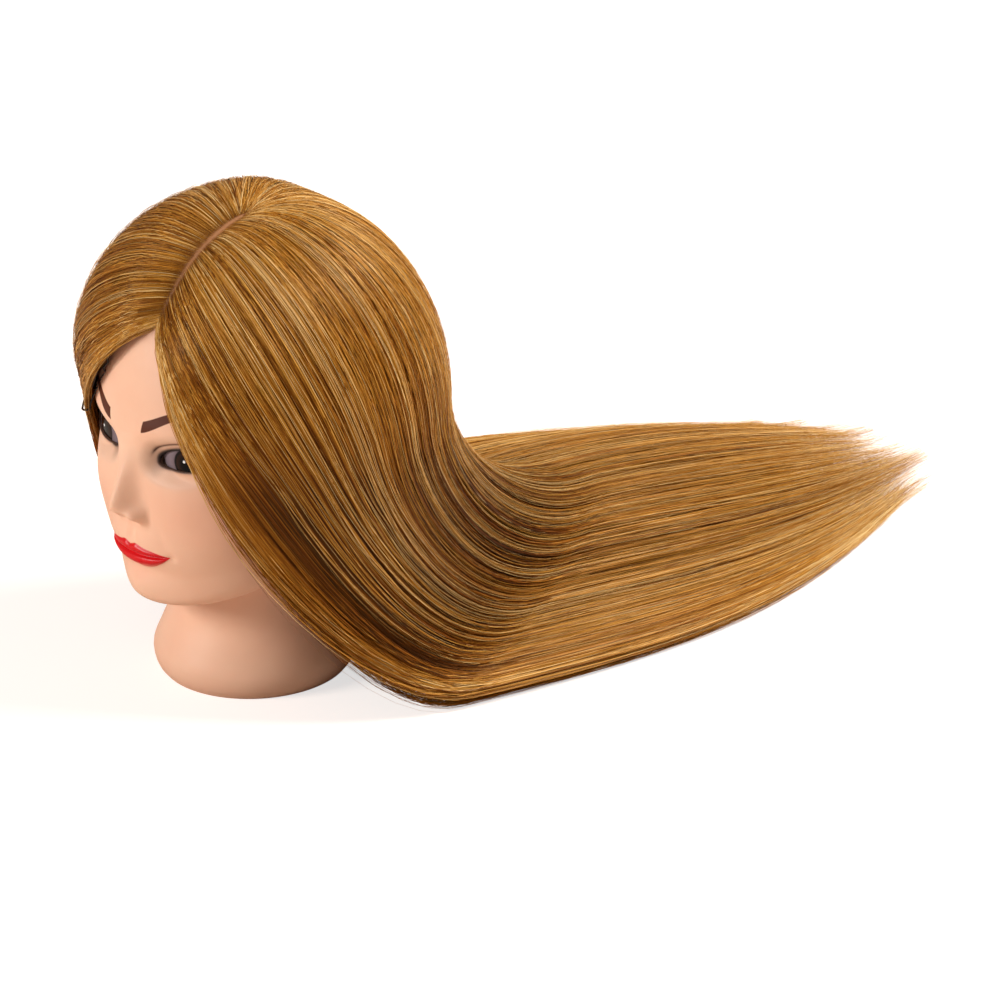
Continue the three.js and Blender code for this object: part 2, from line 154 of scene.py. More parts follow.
def ramp_stops(ramp_node, stops):
    """Sets a colour ramp to a list of (position, linear colour)."""
    elements = ramp_node.color_ramp.elements
    while len(elements) > len(stops):
        elements.remove(elements[-1])
    while len(elements) < len(stops):
        elements.new(1.0)
    for element, (position, colour) in zip(elements, stops):
        element.position = position
        element.color = colour


# %% [markdown]
# ## The skin
# The head is cast in soft PVC: a liquid vinyl is turned in a hot mould until it sets, which leaves a matte,
# slightly waxy skin. A little of the light goes into it and comes out warmer, so the shader has a low
# weight of subsurface scattering. A slight mottling and a fine bump keep it from looking like plain
# plastic. The features are painted by spray and stencil: satin lips, brows, a smoky eyeshadow round the
# eyes and liner at the lids. Two marks are painted shade instead: a dark line in the crease over each upper
# lid, and the scalp under the hair darkened to the hair's brown, for its shade and the warm light the hair
# throws on it. Each mask is a number stored on the points of the mesh, worked out from the shape of the
# face.

# %% Soft PVC skin
STENCILLED = ("brow", "lips")
STENCIL_BLUR = 0.22


def soft_pvc_skin():
    material, shader, node, link = new_material("soft PVC skin")
    place = node("ShaderNodeTexCoord").outputs["Object"]
    mottle = node("ShaderNodeTexNoise", Vector=place, Scale=grain(35.7), Detail=3.0)
    tint = node("ShaderNodeValToRGB", Fac=mottle.outputs["Fac"])
    ramp_stops(tint, [(0.3, linear("#E9B698")), (0.7, linear("#EEBFA1"))])
    colour = tint.outputs["Color"]
    # The scalp's darkening under the hair is painted shade, and so is the crease line inside the eyeshadow
    # mask.
    paints = {"blush": "#DE9478", "root_shade": "#8A5526", "eye_shade": "#3A1E16", "liner": "#100808",
              "brow": "#532512", "lips": "#D01318"}
    for name, tone in paints.items():
        amount = node("ShaderNodeAttribute", {"attribute_name": name}).outputs["Fac"]
        if name in STENCILLED:
            # These hold a distance in mm from the stencil's edge, so the edge stays sharp between points.
            edge = node("ShaderNodeMapRange", Value=amount, From_Min=-STENCIL_BLUR, From_Max=STENCIL_BLUR)
            amount = edge.outputs["Result"]
        mixed = node("ShaderNodeMix", {"data_type": "RGBA"}, i0=amount, i6=colour, i7=linear(tone))
        colour = mixed.outputs[2]
    link(colour, shader.inputs["Base Color"])
    # The lips were painted last, and their amount still stands here: they are glossier than the skin.
    gloss = node("ShaderNodeMapRange", Value=amount, To_Min=0.48, To_Max=0.3)
    link(gloss.outputs["Result"], shader.inputs["Roughness"])
    shader.inputs["IOR"].default_value = 1.52
    shader.inputs["Specular IOR Level"].default_value = 0.2
    shader.inputs["Subsurface Weight"].default_value = 0.08
    shader.inputs["Subsurface Radius"].default_value = (1.0, 0.35, 0.2)
    shader.inputs["Subsurface Scale"].default_value = 0.003
    # The mould's fine satin texture is about 0.1 mm; it is drawn at 0.6 mm so that it shows at all.
    satin = node("ShaderNodeTexNoise", Vector=place, Scale=grain(0.625), Detail=2.0)
    soft = node("ShaderNodeTexNoise", Vector=place, Scale=grain(11.1), Detail=2.0)
    both = node("ShaderNodeMath", {"operation": "ADD"}, i0=satin.outputs["Fac"], i1=soft.outputs["Fac"])
    relief = node("ShaderNodeBump", Strength=0.1, Distance=0.0003, Height=both.outputs[0])
    link(relief.outputs["Normal"], shader.inputs["Normal"])
    return material


skin_material = soft_pvc_skin()

# %% [markdown]
# ## The shape of the head
# A head this smooth could be sculpted, or made as a subdivision cage. Here it is a stack of rings, each one
# a tilted oval from the foot to the crown, because the rings can be written down as a few sizes and match
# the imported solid. A smooth curve runs through the rings' sizes, so the surface can be sampled finely.

# %% Rings of the head
BROW_HEIGHT = 160.0
SKULL_HALF_WIDTH, SKULL_FRONT, SKULL_BACK = 75.0, 92.0, 86.0
SKULL_RISE, SKULL_SET_BACK = 103.0, 12.0
FACE_Y = SKULL_SET_BACK - SKULL_FRONT
BACK_Y = SKULL_SET_BACK + SKULL_BACK
CHIN_HEIGHT = 57.0
EYE_HEIGHT, EYE_X = 148.0, 33.5

# Front Y, front height, back Y, back height and half width of each ring.
foot_rings = [
    [-53, 0, 53, 0, 53],
    [-56, 4.7, 56, 4.7, 56],
    [-57, 14, 57, 14, 57],
    [-52.2, 25, 52.8, 30, 52.2],
    [-46.2, 39, 49.8, 52, 46.4],
    [-45, 60, 53, 84, 46],
]
# From the jaw up, depths and widths are shares of the skull's.
jaw_shares = [
    [0.63, 60, 0.57, 100, 0.7], [0.76, 57, 0.66, 110, 0.77], [0.86, 58, 0.75, 119, 0.81],
    [0.92, 62, 0.83, 127, 0.84], [0.94, 69, 0.89, 134, 0.87], [0.945, 76, 0.93, 140, 0.895],
    [0.96, 84, 0.955, 144, 0.92], [0.975, 91, 0.97, 148, 0.94], [0.985, 98, 0.982, 151, 0.955],
    [0.99, 106, 0.989, 153, 0.97], [0.995, 115, 0.994, 155, 0.98], [0.998, 124, 0.997, 156.5, 0.988],
    [1, 133, 0.999, 158, 0.994], [1, 142, 1, 159, 0.998], [1, 151, 1, 159.5, 1],
]
jaw_rings = [[f * FACE_Y, low, r * BACK_Y, high, w * SKULL_HALF_WIDTH] for f, low, r, high, w in jaw_shares]
DOME_RINGS = 11
dome_rings = []
for i in range(DOME_RINGS):
    rise = i / (DOME_RINGS - 1) * math.pi / 2
    out, z = math.cos(rise), BROW_HEIGHT + SKULL_RISE * math.sin(rise)
    dome_rings.append([SKULL_SET_BACK - SKULL_FRONT * out, z, SKULL_SET_BACK + SKULL_BACK * out, z,
                       SKULL_HALF_WIDTH * out])
ring_sizes = np.array(foot_rings + jaw_rings + dome_rings, float)


def smooth_through(values, at):
    """A Catmull-Rom curve through rows of values, sampled at fractional row numbers."""
    last = len(values) - 1
    i = np.clip(np.floor(at).astype(int), 0, last - 1)
    t = (at - i)[:, None]
    p0, p1 = values[np.maximum(i - 1, 0)], values[i]
    p2, p3 = values[i + 1], values[np.minimum(i + 2, last)]
    return 0.5 * (2 * p1 + (p2 - p0) * t + (2 * p0 - 5 * p1 + 4 * p2 - p3) * t ** 2
                  + (3 * p1 - p0 - 3 * p2 + p3) * t ** 3)


def plain_head(rows, turns):
    """Points of the head without its features, for fractional ring numbers and turns from the front."""
    sizes = smooth_through(ring_sizes, rows)
    front_y, front_z, rear_y, rear_z, half = [column[:, None] for column in sizes.T]
    c, s = np.cos(turns)[None, :], np.sin(turns)[None, :]
    # The face is a little squarer than an oval, from the chin to the brow.
    level = ease(front_z, CHIN_HEIGHT + 8, 110) * (1 - ease(front_z, 160, 205))
    square = np.where(c > 0, 2 + 0.4 * level, 2.0)
    swell = (np.abs(c) ** square + np.abs(s) ** square) ** (-1 / square)
    x = half * s * swell
    y = (front_y + rear_y) / 2 + (front_y - rear_y) / 2 * c * swell
    z = (front_z + rear_z) / 2 + (front_z - rear_z) / 2 * c
    return np.stack(np.broadcast_arrays(x, y, z), -1)


# %% [markdown]
# ## The face
# Nose, lips, chin, cheeks and eye sockets are soft bumps and hollows pushed forward or back from the plain
# rings. A sculptor builds a face in the same order: the big planes, then the nose and muzzle, then the
# edges of the lips. The lip outline is a formula, so the same curves place both the relief and the paint.

# %% Features of the face
MOUTH_HALF = 25.5


def mouth_line(x):
    """Height of the line between the lips, which turns up a little at the corners."""
    return 90.4 + 1.5 * (np.abs(x) / MOUTH_HALF) ** 2


def lip_heights(x):
    """Height of the upper lip's top and the lower lip's bottom, from the mouth line."""
    side = np.clip(np.abs(x) / MOUTH_HALF, 0, 1)
    upper = 5.4 * (1 - side ** 1.7) ** 0.9 + 1.0 * bump(np.abs(x) - 4.8, 3.4) - 0.7 * bump(x, 2.6)
    lower = 9.0 * np.clip(1 - (side / 0.97) ** 1.9, 0, 1) ** 0.85
    return upper * (side < 1), lower


def nose(x, z):
    """How far the nose stands out: its ridge, wings, creases and nostrils."""
    side = np.abs(x)
    ridge_z = [105, 108, 110.8, 113.4, 116.4, 119.2, 122, 127, 133, 140, 147, 153, 159]
    ridge_out = [0, 0.8, 3.6, 8.6, 12.2, 13.6, 13.2, 10.8, 8.0, 5.0, 2.6, 1.0, 0]
    out = np.interp(z, ridge_z, ridge_out)
    width = np.interp(z, [106, 112, 120, 135, 152], [10.5, 10.0, 7.6, 6.2, 7.5])
    ridge = out * bump(x, width)
    wings = 4.8 * bump(side - 9.6, 4.0) * bump(z - 114.0, 4.6)
    creases = -1.1 * bump(side - 14.6, 2.2) * bump(z - 113.0, 4.5)
    nostrils = -3.4 * bump(side - 5.4, 2.3) * bump(z - 110.2, 1.5)
    return ridge + wings + creases + nostrils


def lips(x, z):
    """How far the lips stand out: two rolls on a low muzzle, with a groove between them."""
    line = mouth_line(x)
    upper, lower = lip_heights(x)
    side = np.clip(np.abs(x) / MOUTH_HALF, 0, 1)
    full = np.sqrt(1 - side ** 2)
    above = np.clip((z - line) / np.maximum(upper, 0.4), 0, 1.6)
    below = np.clip((line - z) / np.maximum(lower, 0.4), 0, 1.6)
    top = np.where(z >= line, np.clip(4 * above * (1.0 - above), 0, 1), 0) * 1.5
    bottom = np.where(z < line, np.clip(4 * below * (1.0 - below), 0, 1), 0) * 2.6
    muzzle = 3.4 * bump(z - 92, 11) * bump(x, 22)
    groove = -1.1 * bump(z - line, 0.9) * ease(MOUTH_HALF + 1.5 - np.abs(x), 0, 6)
    corner = -1.0 * bump(np.abs(x) - MOUTH_HALF - 0.6, 2.2) * bump(z - 92, 2.4)
    return muzzle + (top + bottom) * full + groove + corner


def features(x, z):
    """How far the face stands forward of the plain head at a point, seen from the front."""
    side = np.abs(x)
    socket = -5.4 * bump(side - EYE_X, 16) * bump(z - EYE_HEIGHT, 11)
    inner_hollow = -1.6 * bump(side - 16.5, 6) * bump(z - 149, 8)
    brow = 1.6 * bump(z - 163, 7) * bump(side - 20, 26)
    philtrum = -0.8 * bump(x, 2.4) * bump(z - 101, 5) + 0.35 * bump(side - 4.2, 1.8) * bump(z - 100, 5)
    under_lip = -1.9 * bump(z - 80.5, 4.5) * bump(x, 16)
    chin = 3.4 * bump(z - 68, 9) * bump(x, 15)
    cheek = 1.9 * bump(side - 38, 17) * bump(z - 122, 16)
    fold = -0.5 * bump(side - 21 - (105 - z) * 0.35, 3.5) * bump(z - 104, 9)
    planes = socket + inner_hollow + brow + philtrum + under_lip + chin + cheek + fold
    return planes + nose(x, z) + lips(x, z)


def with_features(points, turns):
    """The plain head with its face pushed forward, fading out towards the sides."""
    c = np.cos(turns)[None, :]
    forward = np.where(c > 0, features(points[..., 0], points[..., 2]) * ease(c, 0.05, 0.5), 0)
    shaped = points.copy()
    shaped[..., 1] -= forward
    return shaped


# Rows and turns are close together over the face, closest at the lips and brows, and wide apart behind.
ring_count, turn_count = 286, 308
SHORT_OF_CROWN, FACE_CLOSENESS = 0.05, 1.15
fine_rows = np.linspace(0, len(ring_sizes) - 1 - SHORT_OF_CROWN, 4000)
front_line = smooth_through(ring_sizes, fine_rows)[:, :2]
row_steps = np.linalg.norm(np.diff(front_line, axis=0), axis=1)
front_z = front_line[1:, 1]
closeness = (0.35 + ease(front_z, 54, 64) * (1 - ease(front_z, 178, 192)) + 1.3 * bump(front_z - 90, 10)
             + 1.0 * bump(front_z - 168, 9) + 0.5 * bump(front_z - 148, 10) + 0.5 * bump(front_z - 112, 7))
covered = np.concatenate([[0], np.cumsum(row_steps * closeness)])
row_marks = np.interp(np.linspace(0, covered[-1], ring_count), covered, fine_rows)
spin = np.linspace(-1, 1, turn_count, endpoint=False)
turns = FACE_CLOSENESS * spin + (math.pi - FACE_CLOSENESS) * spin ** 5
surface = with_features(plain_head(row_marks, turns), turns)
print("head grid", surface.shape[:2], "rows and turns, top at", round(surface[..., 2].max(), 1), "mm")

# %% [markdown]
# ## Eyes and lids
# Each eye is a glossy dome set behind the skin, and the lids are folds of skin that lie on it. A hole cut
# in a grid would have a ragged edge, so the lids are a patch of their own: rings of points that start on
# the almond of the lid's edge and spread outwards until they lie on the face again. Where the patch covers
# it, the face is pushed back out of sight. The distance from the lid's edge places the liner, the smoky
# eyeshadow, and a dark line of painted shade in the crease of the upper lid.

# %% Eye geometry
DOME_RADIUS, DOME_RIM, EYE_SET_BACK, EYE_TURN = 38.0, 17.0, 10.5, math.radians(12)
OPEN_HALF, OPEN_UP, OPEN_DOWN, OPEN_MEAN, EYE_SLANT = 15.8, 7.6, 5.0, 6.0, 4.6
PATCH_REACH, LID_THICKNESS, LID_SINK = 9.0, 1.3, 2.4
FAR, FACE_BACK = 99.0, -35.0


def dome_front(x, z, side):
    """Y of the front of the eye's dome under a point, seen from the front."""
    apex = np.array([side * EYE_X, FACE_Y + EYE_SET_BACK])
    centre = apex + DOME_RADIUS * np.array([-side * math.sin(EYE_TURN), math.cos(EYE_TURN)])
    inside = DOME_RADIUS ** 2 - (x - centre[0]) ** 2 - (z - EYE_HEIGHT) ** 2
    return centre[1] - np.sqrt(np.maximum(inside, 1.0))


def almond_edge(angle):
    """The lid's edge round the eye: across (outwards) and up from the eye's centre."""
    across = OPEN_HALF * np.cos(angle)
    lift = np.where(np.sin(angle) > 0, OPEN_UP, OPEN_DOWN)
    shape = np.abs(np.sin(angle)) ** 0.82 * np.sign(np.sin(angle))
    peak = np.where(np.sin(angle) > 0, 1 + 0.12 * np.cos(angle + 0.4), 1 + 0.12 * np.cos(angle))
    return across, lift * shape * peak + EYE_SLANT / 2 * across / OPEN_HALF


edge_angles = np.linspace(0, 2 * math.pi, 144, endpoint=False)
edge_across, edge_up = almond_edge(edge_angles)
edge_upper = np.sin(edge_angles)
edge_polygon = np.stack([edge_across, edge_up], -1)
edge_normals = unit(np.stack([np.cos(edge_angles) / OPEN_HALF, edge_upper / OPEN_MEAN], -1))


def from_lid_edge(across, up):
    """Signed distance from the lid's edge, in mm, negative inside the opening, and which lid is nearest."""
    flat = np.stack([across.ravel(), up.ravel()], -1)
    result, upper = np.full(len(flat), FAR), np.zeros(len(flat))
    near = np.flatnonzero((np.abs(flat[:, 0]) < 40) & (np.abs(flat[:, 1]) < 34))
    gap = flat[near][:, None, :] - edge_polygon[None]
    away = np.linalg.norm(gap, axis=-1)
    closest = away.argmin(1)
    offset = gap[np.arange(len(near)), closest]
    result[near] = away.min(1) * np.sign((offset * edge_normals[closest]).sum(-1) + 1e-9)
    upper[near] = edge_upper[closest]
    return result.reshape(across.shape), upper.reshape(across.shape)


BROW_FROM, BROW_TO, BROW_SPAN, BROW_LOW = 13.5, 44.5, 32.0, 164.6


def paint_masks(x, z, lid_gap, lid_upper):
    """Where the paints go: 0 to 1, or for those put on by stencil the distance in mm inside its edge."""
    side = np.abs(x)
    line = mouth_line(x)
    upper, lower = lip_heights(x)
    inside = np.minimum(line + upper - z, z - (line - lower))
    masks = {"lips": np.where(side < MOUTH_HALF, inside, -1.0)}
    along = (side - BROW_FROM) / BROW_SPAN
    brow_line = BROW_LOW + 11.5 * ease(along, -0.15, 0.85) - 4.5 * ease(along, 0.7, 1.15)
    half = lerp(3.1, 0.8, np.clip(along, 0, 1) ** 2)
    ends = np.minimum(side - BROW_FROM - 0.2 * (z - 164), BROW_TO - side)
    masks["brow"] = np.minimum(half - np.abs(z - brow_line), ends)
    upper_lid = ease(lid_upper, -0.35, 0.3)
    near_nose = ease(24 - side, 0, 8)
    line_width = lerp(0.15, 1.2, upper_lid)
    past_line = ease(lid_gap, line_width * 0.4, line_width + 0.8)
    masks["liner"] = lerp(0.5, 0.95, upper_lid) * (1 - past_line)
    # The crease line is painted shade: a dark line where the upper lid's fold would shade the skin, added to
    # the eyeshadow.
    crease_painted_shade = 0.75 * bump(lid_gap - 3.8, 0.6) * ease(lid_upper, 0.0, 0.5)
    reach = lerp(1.0, 1.8, upper_lid) + 2.8 * near_nose
    fade = 1 - ease(lid_gap, 4.0, 8.8)
    masks["eye_shade"] = np.clip(0.85 * np.exp(-np.clip(lid_gap, 0, 90) / reach) * fade + crease_painted_shade, 0, 1)
    masks["blush"] = 0.22 * bump(side - 40, 22) * bump(z - 116, 20) + 0.15 * bump(x, 14) * bump(z - 80, 7)
    return masks


# %% Head mesh
def front_lid_gap(points):
    """Lid distance for every point of the face, and FAR away from the eyes or behind them."""
    x, z = points[..., 0], points[..., 2]
    gap, upper = from_lid_edge(np.abs(x) - EYE_X, z - EYE_HEIGHT)
    behind = points[..., 1] > FACE_BACK
    return np.where(behind, FAR, gap), np.where(behind, 0.0, upper)


def grid_faces(rows, around, first=0):
    """Faces of a tube of points: rows of them, each one closed round."""
    i, j = np.meshgrid(np.arange(rows - 1), np.arange(around), indexing="ij")
    after = (j + 1) % around
    return np.stack([i * around + j, i * around + after, (i + 1) * around + after, (i + 1) * around + j],
                    -1).reshape(-1, 4) + first


def face_lookup():
    """A function that finds the face's Y behind any point in front of it, by a ray."""
    tree = BVHTree.FromPolygons([Vector(p) for p in surface.reshape(-1, 3)],
                                grid_faces(ring_count, turn_count).tolist())

    def at(x, z):
        starts = [Vector((across, -200, up)) for across, up in zip(x.ravel(), z.ravel())]
        hits = [tree.ray_cast(start, Vector((0, 1, 0)))[0] for start in starts]
        return np.array([hit.y for hit in hits]).reshape(x.shape)

    return at


face_y = face_lookup()


def lid_surface(base, dome, gap, upper):
    """Y of the lid: on the eye at its edge, on the face at its outer end, with a fold over the upper lid."""
    on_eye = np.minimum(dome - LID_THICKNESS, base + LID_SINK)
    fold = 0.7 * ease(upper, 0.1, 0.7) * bump(gap - 3.9, 0.9)
    blend = ease(gap, 0.6, PATCH_REACH)
    return lerp(on_eye, base, blend) + fold * (1 - blend)


def eyelid_patch(side):
    """Rings of points from inside the lid's edge out to the face, with their distance from the edge."""
    rings, gaps = [], []
    # The first two rings turn the lid's edge in towards the eye.
    for gap, inward in [(-0.35, 1.6), (-0.2, 0.5)] + [(g, 0.0) for g in np.linspace(0, PATCH_REACH, 22)]:
        x = side * (EYE_X + edge_across + edge_normals[:, 0] * gap)
        z = EYE_HEIGHT + edge_up + edge_normals[:, 1] * gap
        y = lid_surface(face_y(x, z), dome_front(x, z, side), max(gap, 0.0), edge_upper) + inward
        rings.append(np.stack([x, y, z], -1))
        gaps.append(np.full(x.shape, gap))
    return np.array(rings), np.array(gaps)


def build_head():
    """The head with its two lid patches as one mesh, with the paints' masks on its points."""
    points = surface.copy()
    gap, upper = front_lid_gap(points)
    dome = dome_front(np.abs(points[..., 0]), points[..., 2], 1)
    lid = lid_surface(points[..., 1], dome, np.clip(gap, 0, PATCH_REACH), upper)
    under = lid + 0.12 * ease(PATCH_REACH - gap, 0, 1.5) + 3.5 * (1 - ease(gap, 1.0, 2.6))
    points[..., 1] = np.where(gap < PATCH_REACH, under, points[..., 1])
    all_points, all_faces = [points.reshape(-1, 3)], [grid_faces(ring_count, turn_count)]
    all_gaps, all_upper = [gap.ravel()], [upper.ravel()]
    start = points.size // 3
    for side in (1, -1):
        rings, gaps = eyelid_patch(side)
        faces = grid_faces(len(rings), rings.shape[1], start)
        all_faces.append(faces[:, ::-1] if side > 0 else faces)
        all_points.append(rings.reshape(-1, 3))
        all_gaps.append(gaps.ravel())
        all_upper.append(np.broadcast_to(edge_upper, gaps.shape).ravel())
        start += rings.size // 3
    points, gap, upper = [np.concatenate(rows) for rows in (all_points, all_gaps, all_upper)]
    head = make_piece("head", points, np.concatenate(all_faces), skin_material)
    masks = paint_masks(points[:, 0], points[:, 2], gap, upper)
    front = points[:, 1] < FACE_BACK
    for name, values in masks.items():
        give(head, name, np.where(front, values, -FAR if name in STENCILLED else 0))
    # Painted shade: the scalp under the hair darkens to the hair's brown, for the shade and warm bounce of
    # the hair.
    give(head, "root_shade", 0.85 * ease(points[:, 2], 205, 226))
    return head


head = build_head()
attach(head, "head")
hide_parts("head_skin")
print("head", len(head.data.polygons), "faces")

# %% [markdown]
# ## Eyes
# The eyes are glossy plastic domes with the iris printed under a clear coat. One set of rings makes the
# dome, and each point keeps its distance from the pupil's centre, so the rings of colour stay crisp: a
# near-black pupil, a dark brown iris with fine spokes, a darker rim, and a grey white kept dark as painted
# shade from the lids. A small white dot by the pupil is a painted highlight.

# %% Eye finish and domes
PRINT_RADIUS = 12.0


def printed_eye():
    material, shader, node, link = new_material("printed acrylic eye")
    distance = node("ShaderNodeAttribute", {"attribute_name": "pupil_distance"}).outputs["Fac"]
    angle = node("ShaderNodeAttribute", {"attribute_name": "pupil_angle"}).outputs["Fac"]
    share = node("ShaderNodeMath", {"operation": "DIVIDE"}, i0=distance, i1=PRINT_RADIUS)
    rings = node("ShaderNodeValToRGB", Fac=share.outputs[0])
    # The white is printed dark grey as painted shade: the shade the lids cast over the eye.
    ramp_stops(rings, [(0.0, linear("#020202")), (0.28, linear("#050303")), (0.33, linear("#180C07")),
                       (0.52, linear("#2A150C")), (0.62, linear("#090504")), (0.67, linear("#120A09")),
                       (0.74, linear("#6B5B60")), (1.0, linear("#7A6A6F"))])
    spokes = node("ShaderNodeTexWave", {"wave_type": "BANDS"}, Scale=1.0, Distortion=1.5)
    turned = node("ShaderNodeCombineXYZ", X=angle)
    link(turned.outputs[0], spokes.inputs["Vector"])
    strength = node("ShaderNodeMapRange", Value=share.outputs[0], From_Min=0.3, From_Max=0.62,
                    To_Min=0.35, To_Max=0.0)
    streaked = node("ShaderNodeMix", {"data_type": "RGBA", "blend_type": "MULTIPLY"},
                    i0=strength.outputs["Result"], i6=rings.outputs["Color"], i7=spokes.outputs["Color"])
    # A painted highlight: a white dot printed near the pupil, where a light's reflection would sit.
    glint = node("ShaderNodeAttribute", {"attribute_name": "glint"}).outputs["Fac"]
    dotted = node("ShaderNodeMix", {"data_type": "RGBA"}, i0=glint, i6=streaked.outputs[2],
                  i7=linear("#F4F1EE"))
    link(dotted.outputs[2], shader.inputs["Base Color"])
    shader.inputs["Roughness"].default_value = 0.2
    shader.inputs["IOR"].default_value = 1.45
    shader.inputs["Specular IOR Level"].default_value = 0.12
    return material


eye_material = printed_eye()


BACK_DEPTH, PUPIL_OUT, PUPIL_DROP = 10.0, 2.6, 0.6


def eye_dome(side, name, node_name):
    """A dome with a flat back. Its points keep their distance and direction from the pupil's centre."""
    around, steps = 72, 40
    apex = Vector((side * EYE_X, FACE_Y + EYE_SET_BACK, EYE_HEIGHT))
    tilts = np.linspace(0.004, math.asin(DOME_RIM / DOME_RADIUS), steps)
    out = np.concatenate([np.sin(tilts) * DOME_RADIUS, [DOME_RIM, 0.05]])
    depth = np.concatenate([DOME_RADIUS - np.cos(tilts) * DOME_RADIUS, [BACK_DEPTH, BACK_DEPTH]])
    angle = np.linspace(0, 2 * math.pi, around, endpoint=False)
    across = out[:, None] * np.cos(angle)[None]
    up = out[:, None] * np.sin(angle)[None]
    back = np.broadcast_to(depth[:, None], across.shape)
    sin_turn, cos_turn = math.sin(EYE_TURN) * side, math.cos(EYE_TURN)
    x = apex.x + across * cos_turn - back * sin_turn
    y = apex.y + across * sin_turn + back * cos_turn
    points = np.stack([x, y, apex.z + up], -1)
    eye = make_piece(name, points, grid_faces(len(out), around), eye_material)
    from_pupil = across - side * PUPIL_OUT
    give(eye, "pupil_distance", np.hypot(from_pupil, up + PUPIL_DROP))
    give(eye, "pupil_angle", np.arctan2(up, across) * 12)
    # The painted highlight: a small white dot just off the pupil's centre.
    give(eye, "glint", 1 - ease(np.hypot(from_pupil + 1.3, up - 1.0), 0.55, 0.95))
    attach(eye, "head")
    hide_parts(node_name)
    return eye


eye_dome(1, "eye_left", "left_eye")
eye_dome(-1, "eye_right", "right_eye")

# %% [markdown]
# ## How the hair lies
# Every strand starts at the parting, runs over the scalp, leaves the head near the ears, falls to the table
# and lies along it. Three numbers place a point of hair: how far round the head its root is (0 beside the
# left of the face, 0.5 at the back, 1 beside the right), how deep it is in the mass (0 next to the scalp, 1
# outside), and how far along the strand it is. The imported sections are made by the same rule, so strands
# fill them.

# %% Hair map
SECTIONS = 14
# The ends of the parting, how far its row bows at the crown, and the turns and level at which hair leaves.
PART_FRONT_X, PART_FRONT_Y, PART_BACK_X, PART_BACK_Y, CROWN_ROW = 10.0, -62.0, 3.0, 2.0, 5.0
LEFT_TURN, RIGHT_TURN, LEAVE_DROP = math.radians(-54), math.radians(231), 0.1
# How far the mass starts off the scalp and how thick it is, at the parting, the sides and the face.
START, LIFT, AT_PART, AT_SIDES, AT_EDGES = 2.0, 5.0, 4.0, 20.0, 4.0
THICKENS_OVER, RIGHT_VOLUME, STIFFNESS = 1.16, 1.5, 0.36
# Where it lands on the table, how high it heaps there, and where and how flat its tips lie.
LAND_REACH, LAND_X, LAND_HALF, HEAP, LEFT_HEAP, RIGHT_HEAP = 130.0, 6.0, 124.0, 44.0, 9.0, 41.0
HEAP_FALL, TAIL_BULGE, TIP_X, TIP_HALF, TAIL_LENGTH = 1.7, 32.0, 28.0, 80.0, 503.0
TIP_TAPER, TIP_HEIGHT, UNDERSIDE = 60.0, 4.0, 0.4
# The shares of a strand's length at which it leaves the scalp and meets the table.
SCALP_END, FALL_END = 0.19, 0.5
# Strands leave the scalp at the parting itself and rise to their depth over the first few centimetres.
ROOT_GAP, ROOT_GAP_BACK, ROOT_RISE = 0.2, 1.5, 0.25


def locks(around, stray):
    """Root and leaving direction of each strand on the unit skull, and where it lies across the fall."""
    u = np.asarray(around, float)
    turn = lerp(LEFT_TURN, RIGHT_TURN, u)
    inside = math.pi * np.clip(u, 0, 1)
    middle = np.sin(inside)
    across = lerp(np.cos(inside), 1 - 2 * u, 0.6)
    back = ease(middle, 0.05, 0.85)
    side = np.clip(np.cos(inside) * 2.2, -1, 1)
    root_x = lerp(PART_FRONT_X, PART_BACK_X, back) + side * (ROOT_GAP + ROOT_GAP_BACK * back) + stray[0]
    crown = CROWN_ROW * np.maximum(0, (middle - 0.85) / 0.15)
    root_y = lerp(PART_FRONT_Y, PART_BACK_Y, back) + crown + stray[1]
    half_depth = np.where(root_y < SKULL_SET_BACK, SKULL_FRONT, SKULL_BACK)
    rx, ry = root_x / SKULL_HALF_WIDTH, (root_y - SKULL_SET_BACK) / half_depth
    root = np.stack([rx, ry, np.sqrt(1 - rx ** 2 - ry ** 2)], -1)
    level = math.sqrt(1 - LEAVE_DROP ** 2)
    leave = np.stack([np.cos(turn) * level, np.sin(turn) * level, np.full(u.shape, -LEAVE_DROP)], -1)
    return root, leave, middle, across


def over_scalp(lock, along, depth):
    """A point of hair on its way over the scalp, an arc from the root to where it leaves, grown outwards."""
    root, leave, middle, across = lock
    angle = np.arccos(np.clip((root * leave).sum(-1), -1, 1))
    way = root * np.sin((1 - along) * angle)[..., None] + leave * np.sin(along * angle)[..., None]
    way = way / np.sin(angle)[..., None]
    volume = lerp(1, RIGHT_VOLUME, ease(-across, 0, 0.5))
    full = lerp(AT_EDGES, AT_SIDES * volume, ease(middle, 0, 0.6))
    reach = THICKENS_OVER / volume
    t = np.clip((along + 0.1) / (reach + 0.1), 0, 1)
    thickness = lerp(AT_PART, full, t * t * (3 - 2 * t))
    lift = LIFT * ease(along, 0, 0.7) * (1 - ease(middle, 0.2, 0.65))
    rise = 1 - (1 - np.clip(along / ROOT_RISE, 0, 1)) ** 2
    off = START * rise + lift + thickness * depth * rise
    front = np.where(way[..., 1] < 0, SKULL_FRONT, SKULL_BACK)
    return np.stack([way[..., 0] * (SKULL_HALF_WIDTH + off),
                     way[..., 1] * (front + off) + SKULL_SET_BACK,
                     way[..., 2] * (SKULL_RISE + off) + BROW_HEIGHT], -1)


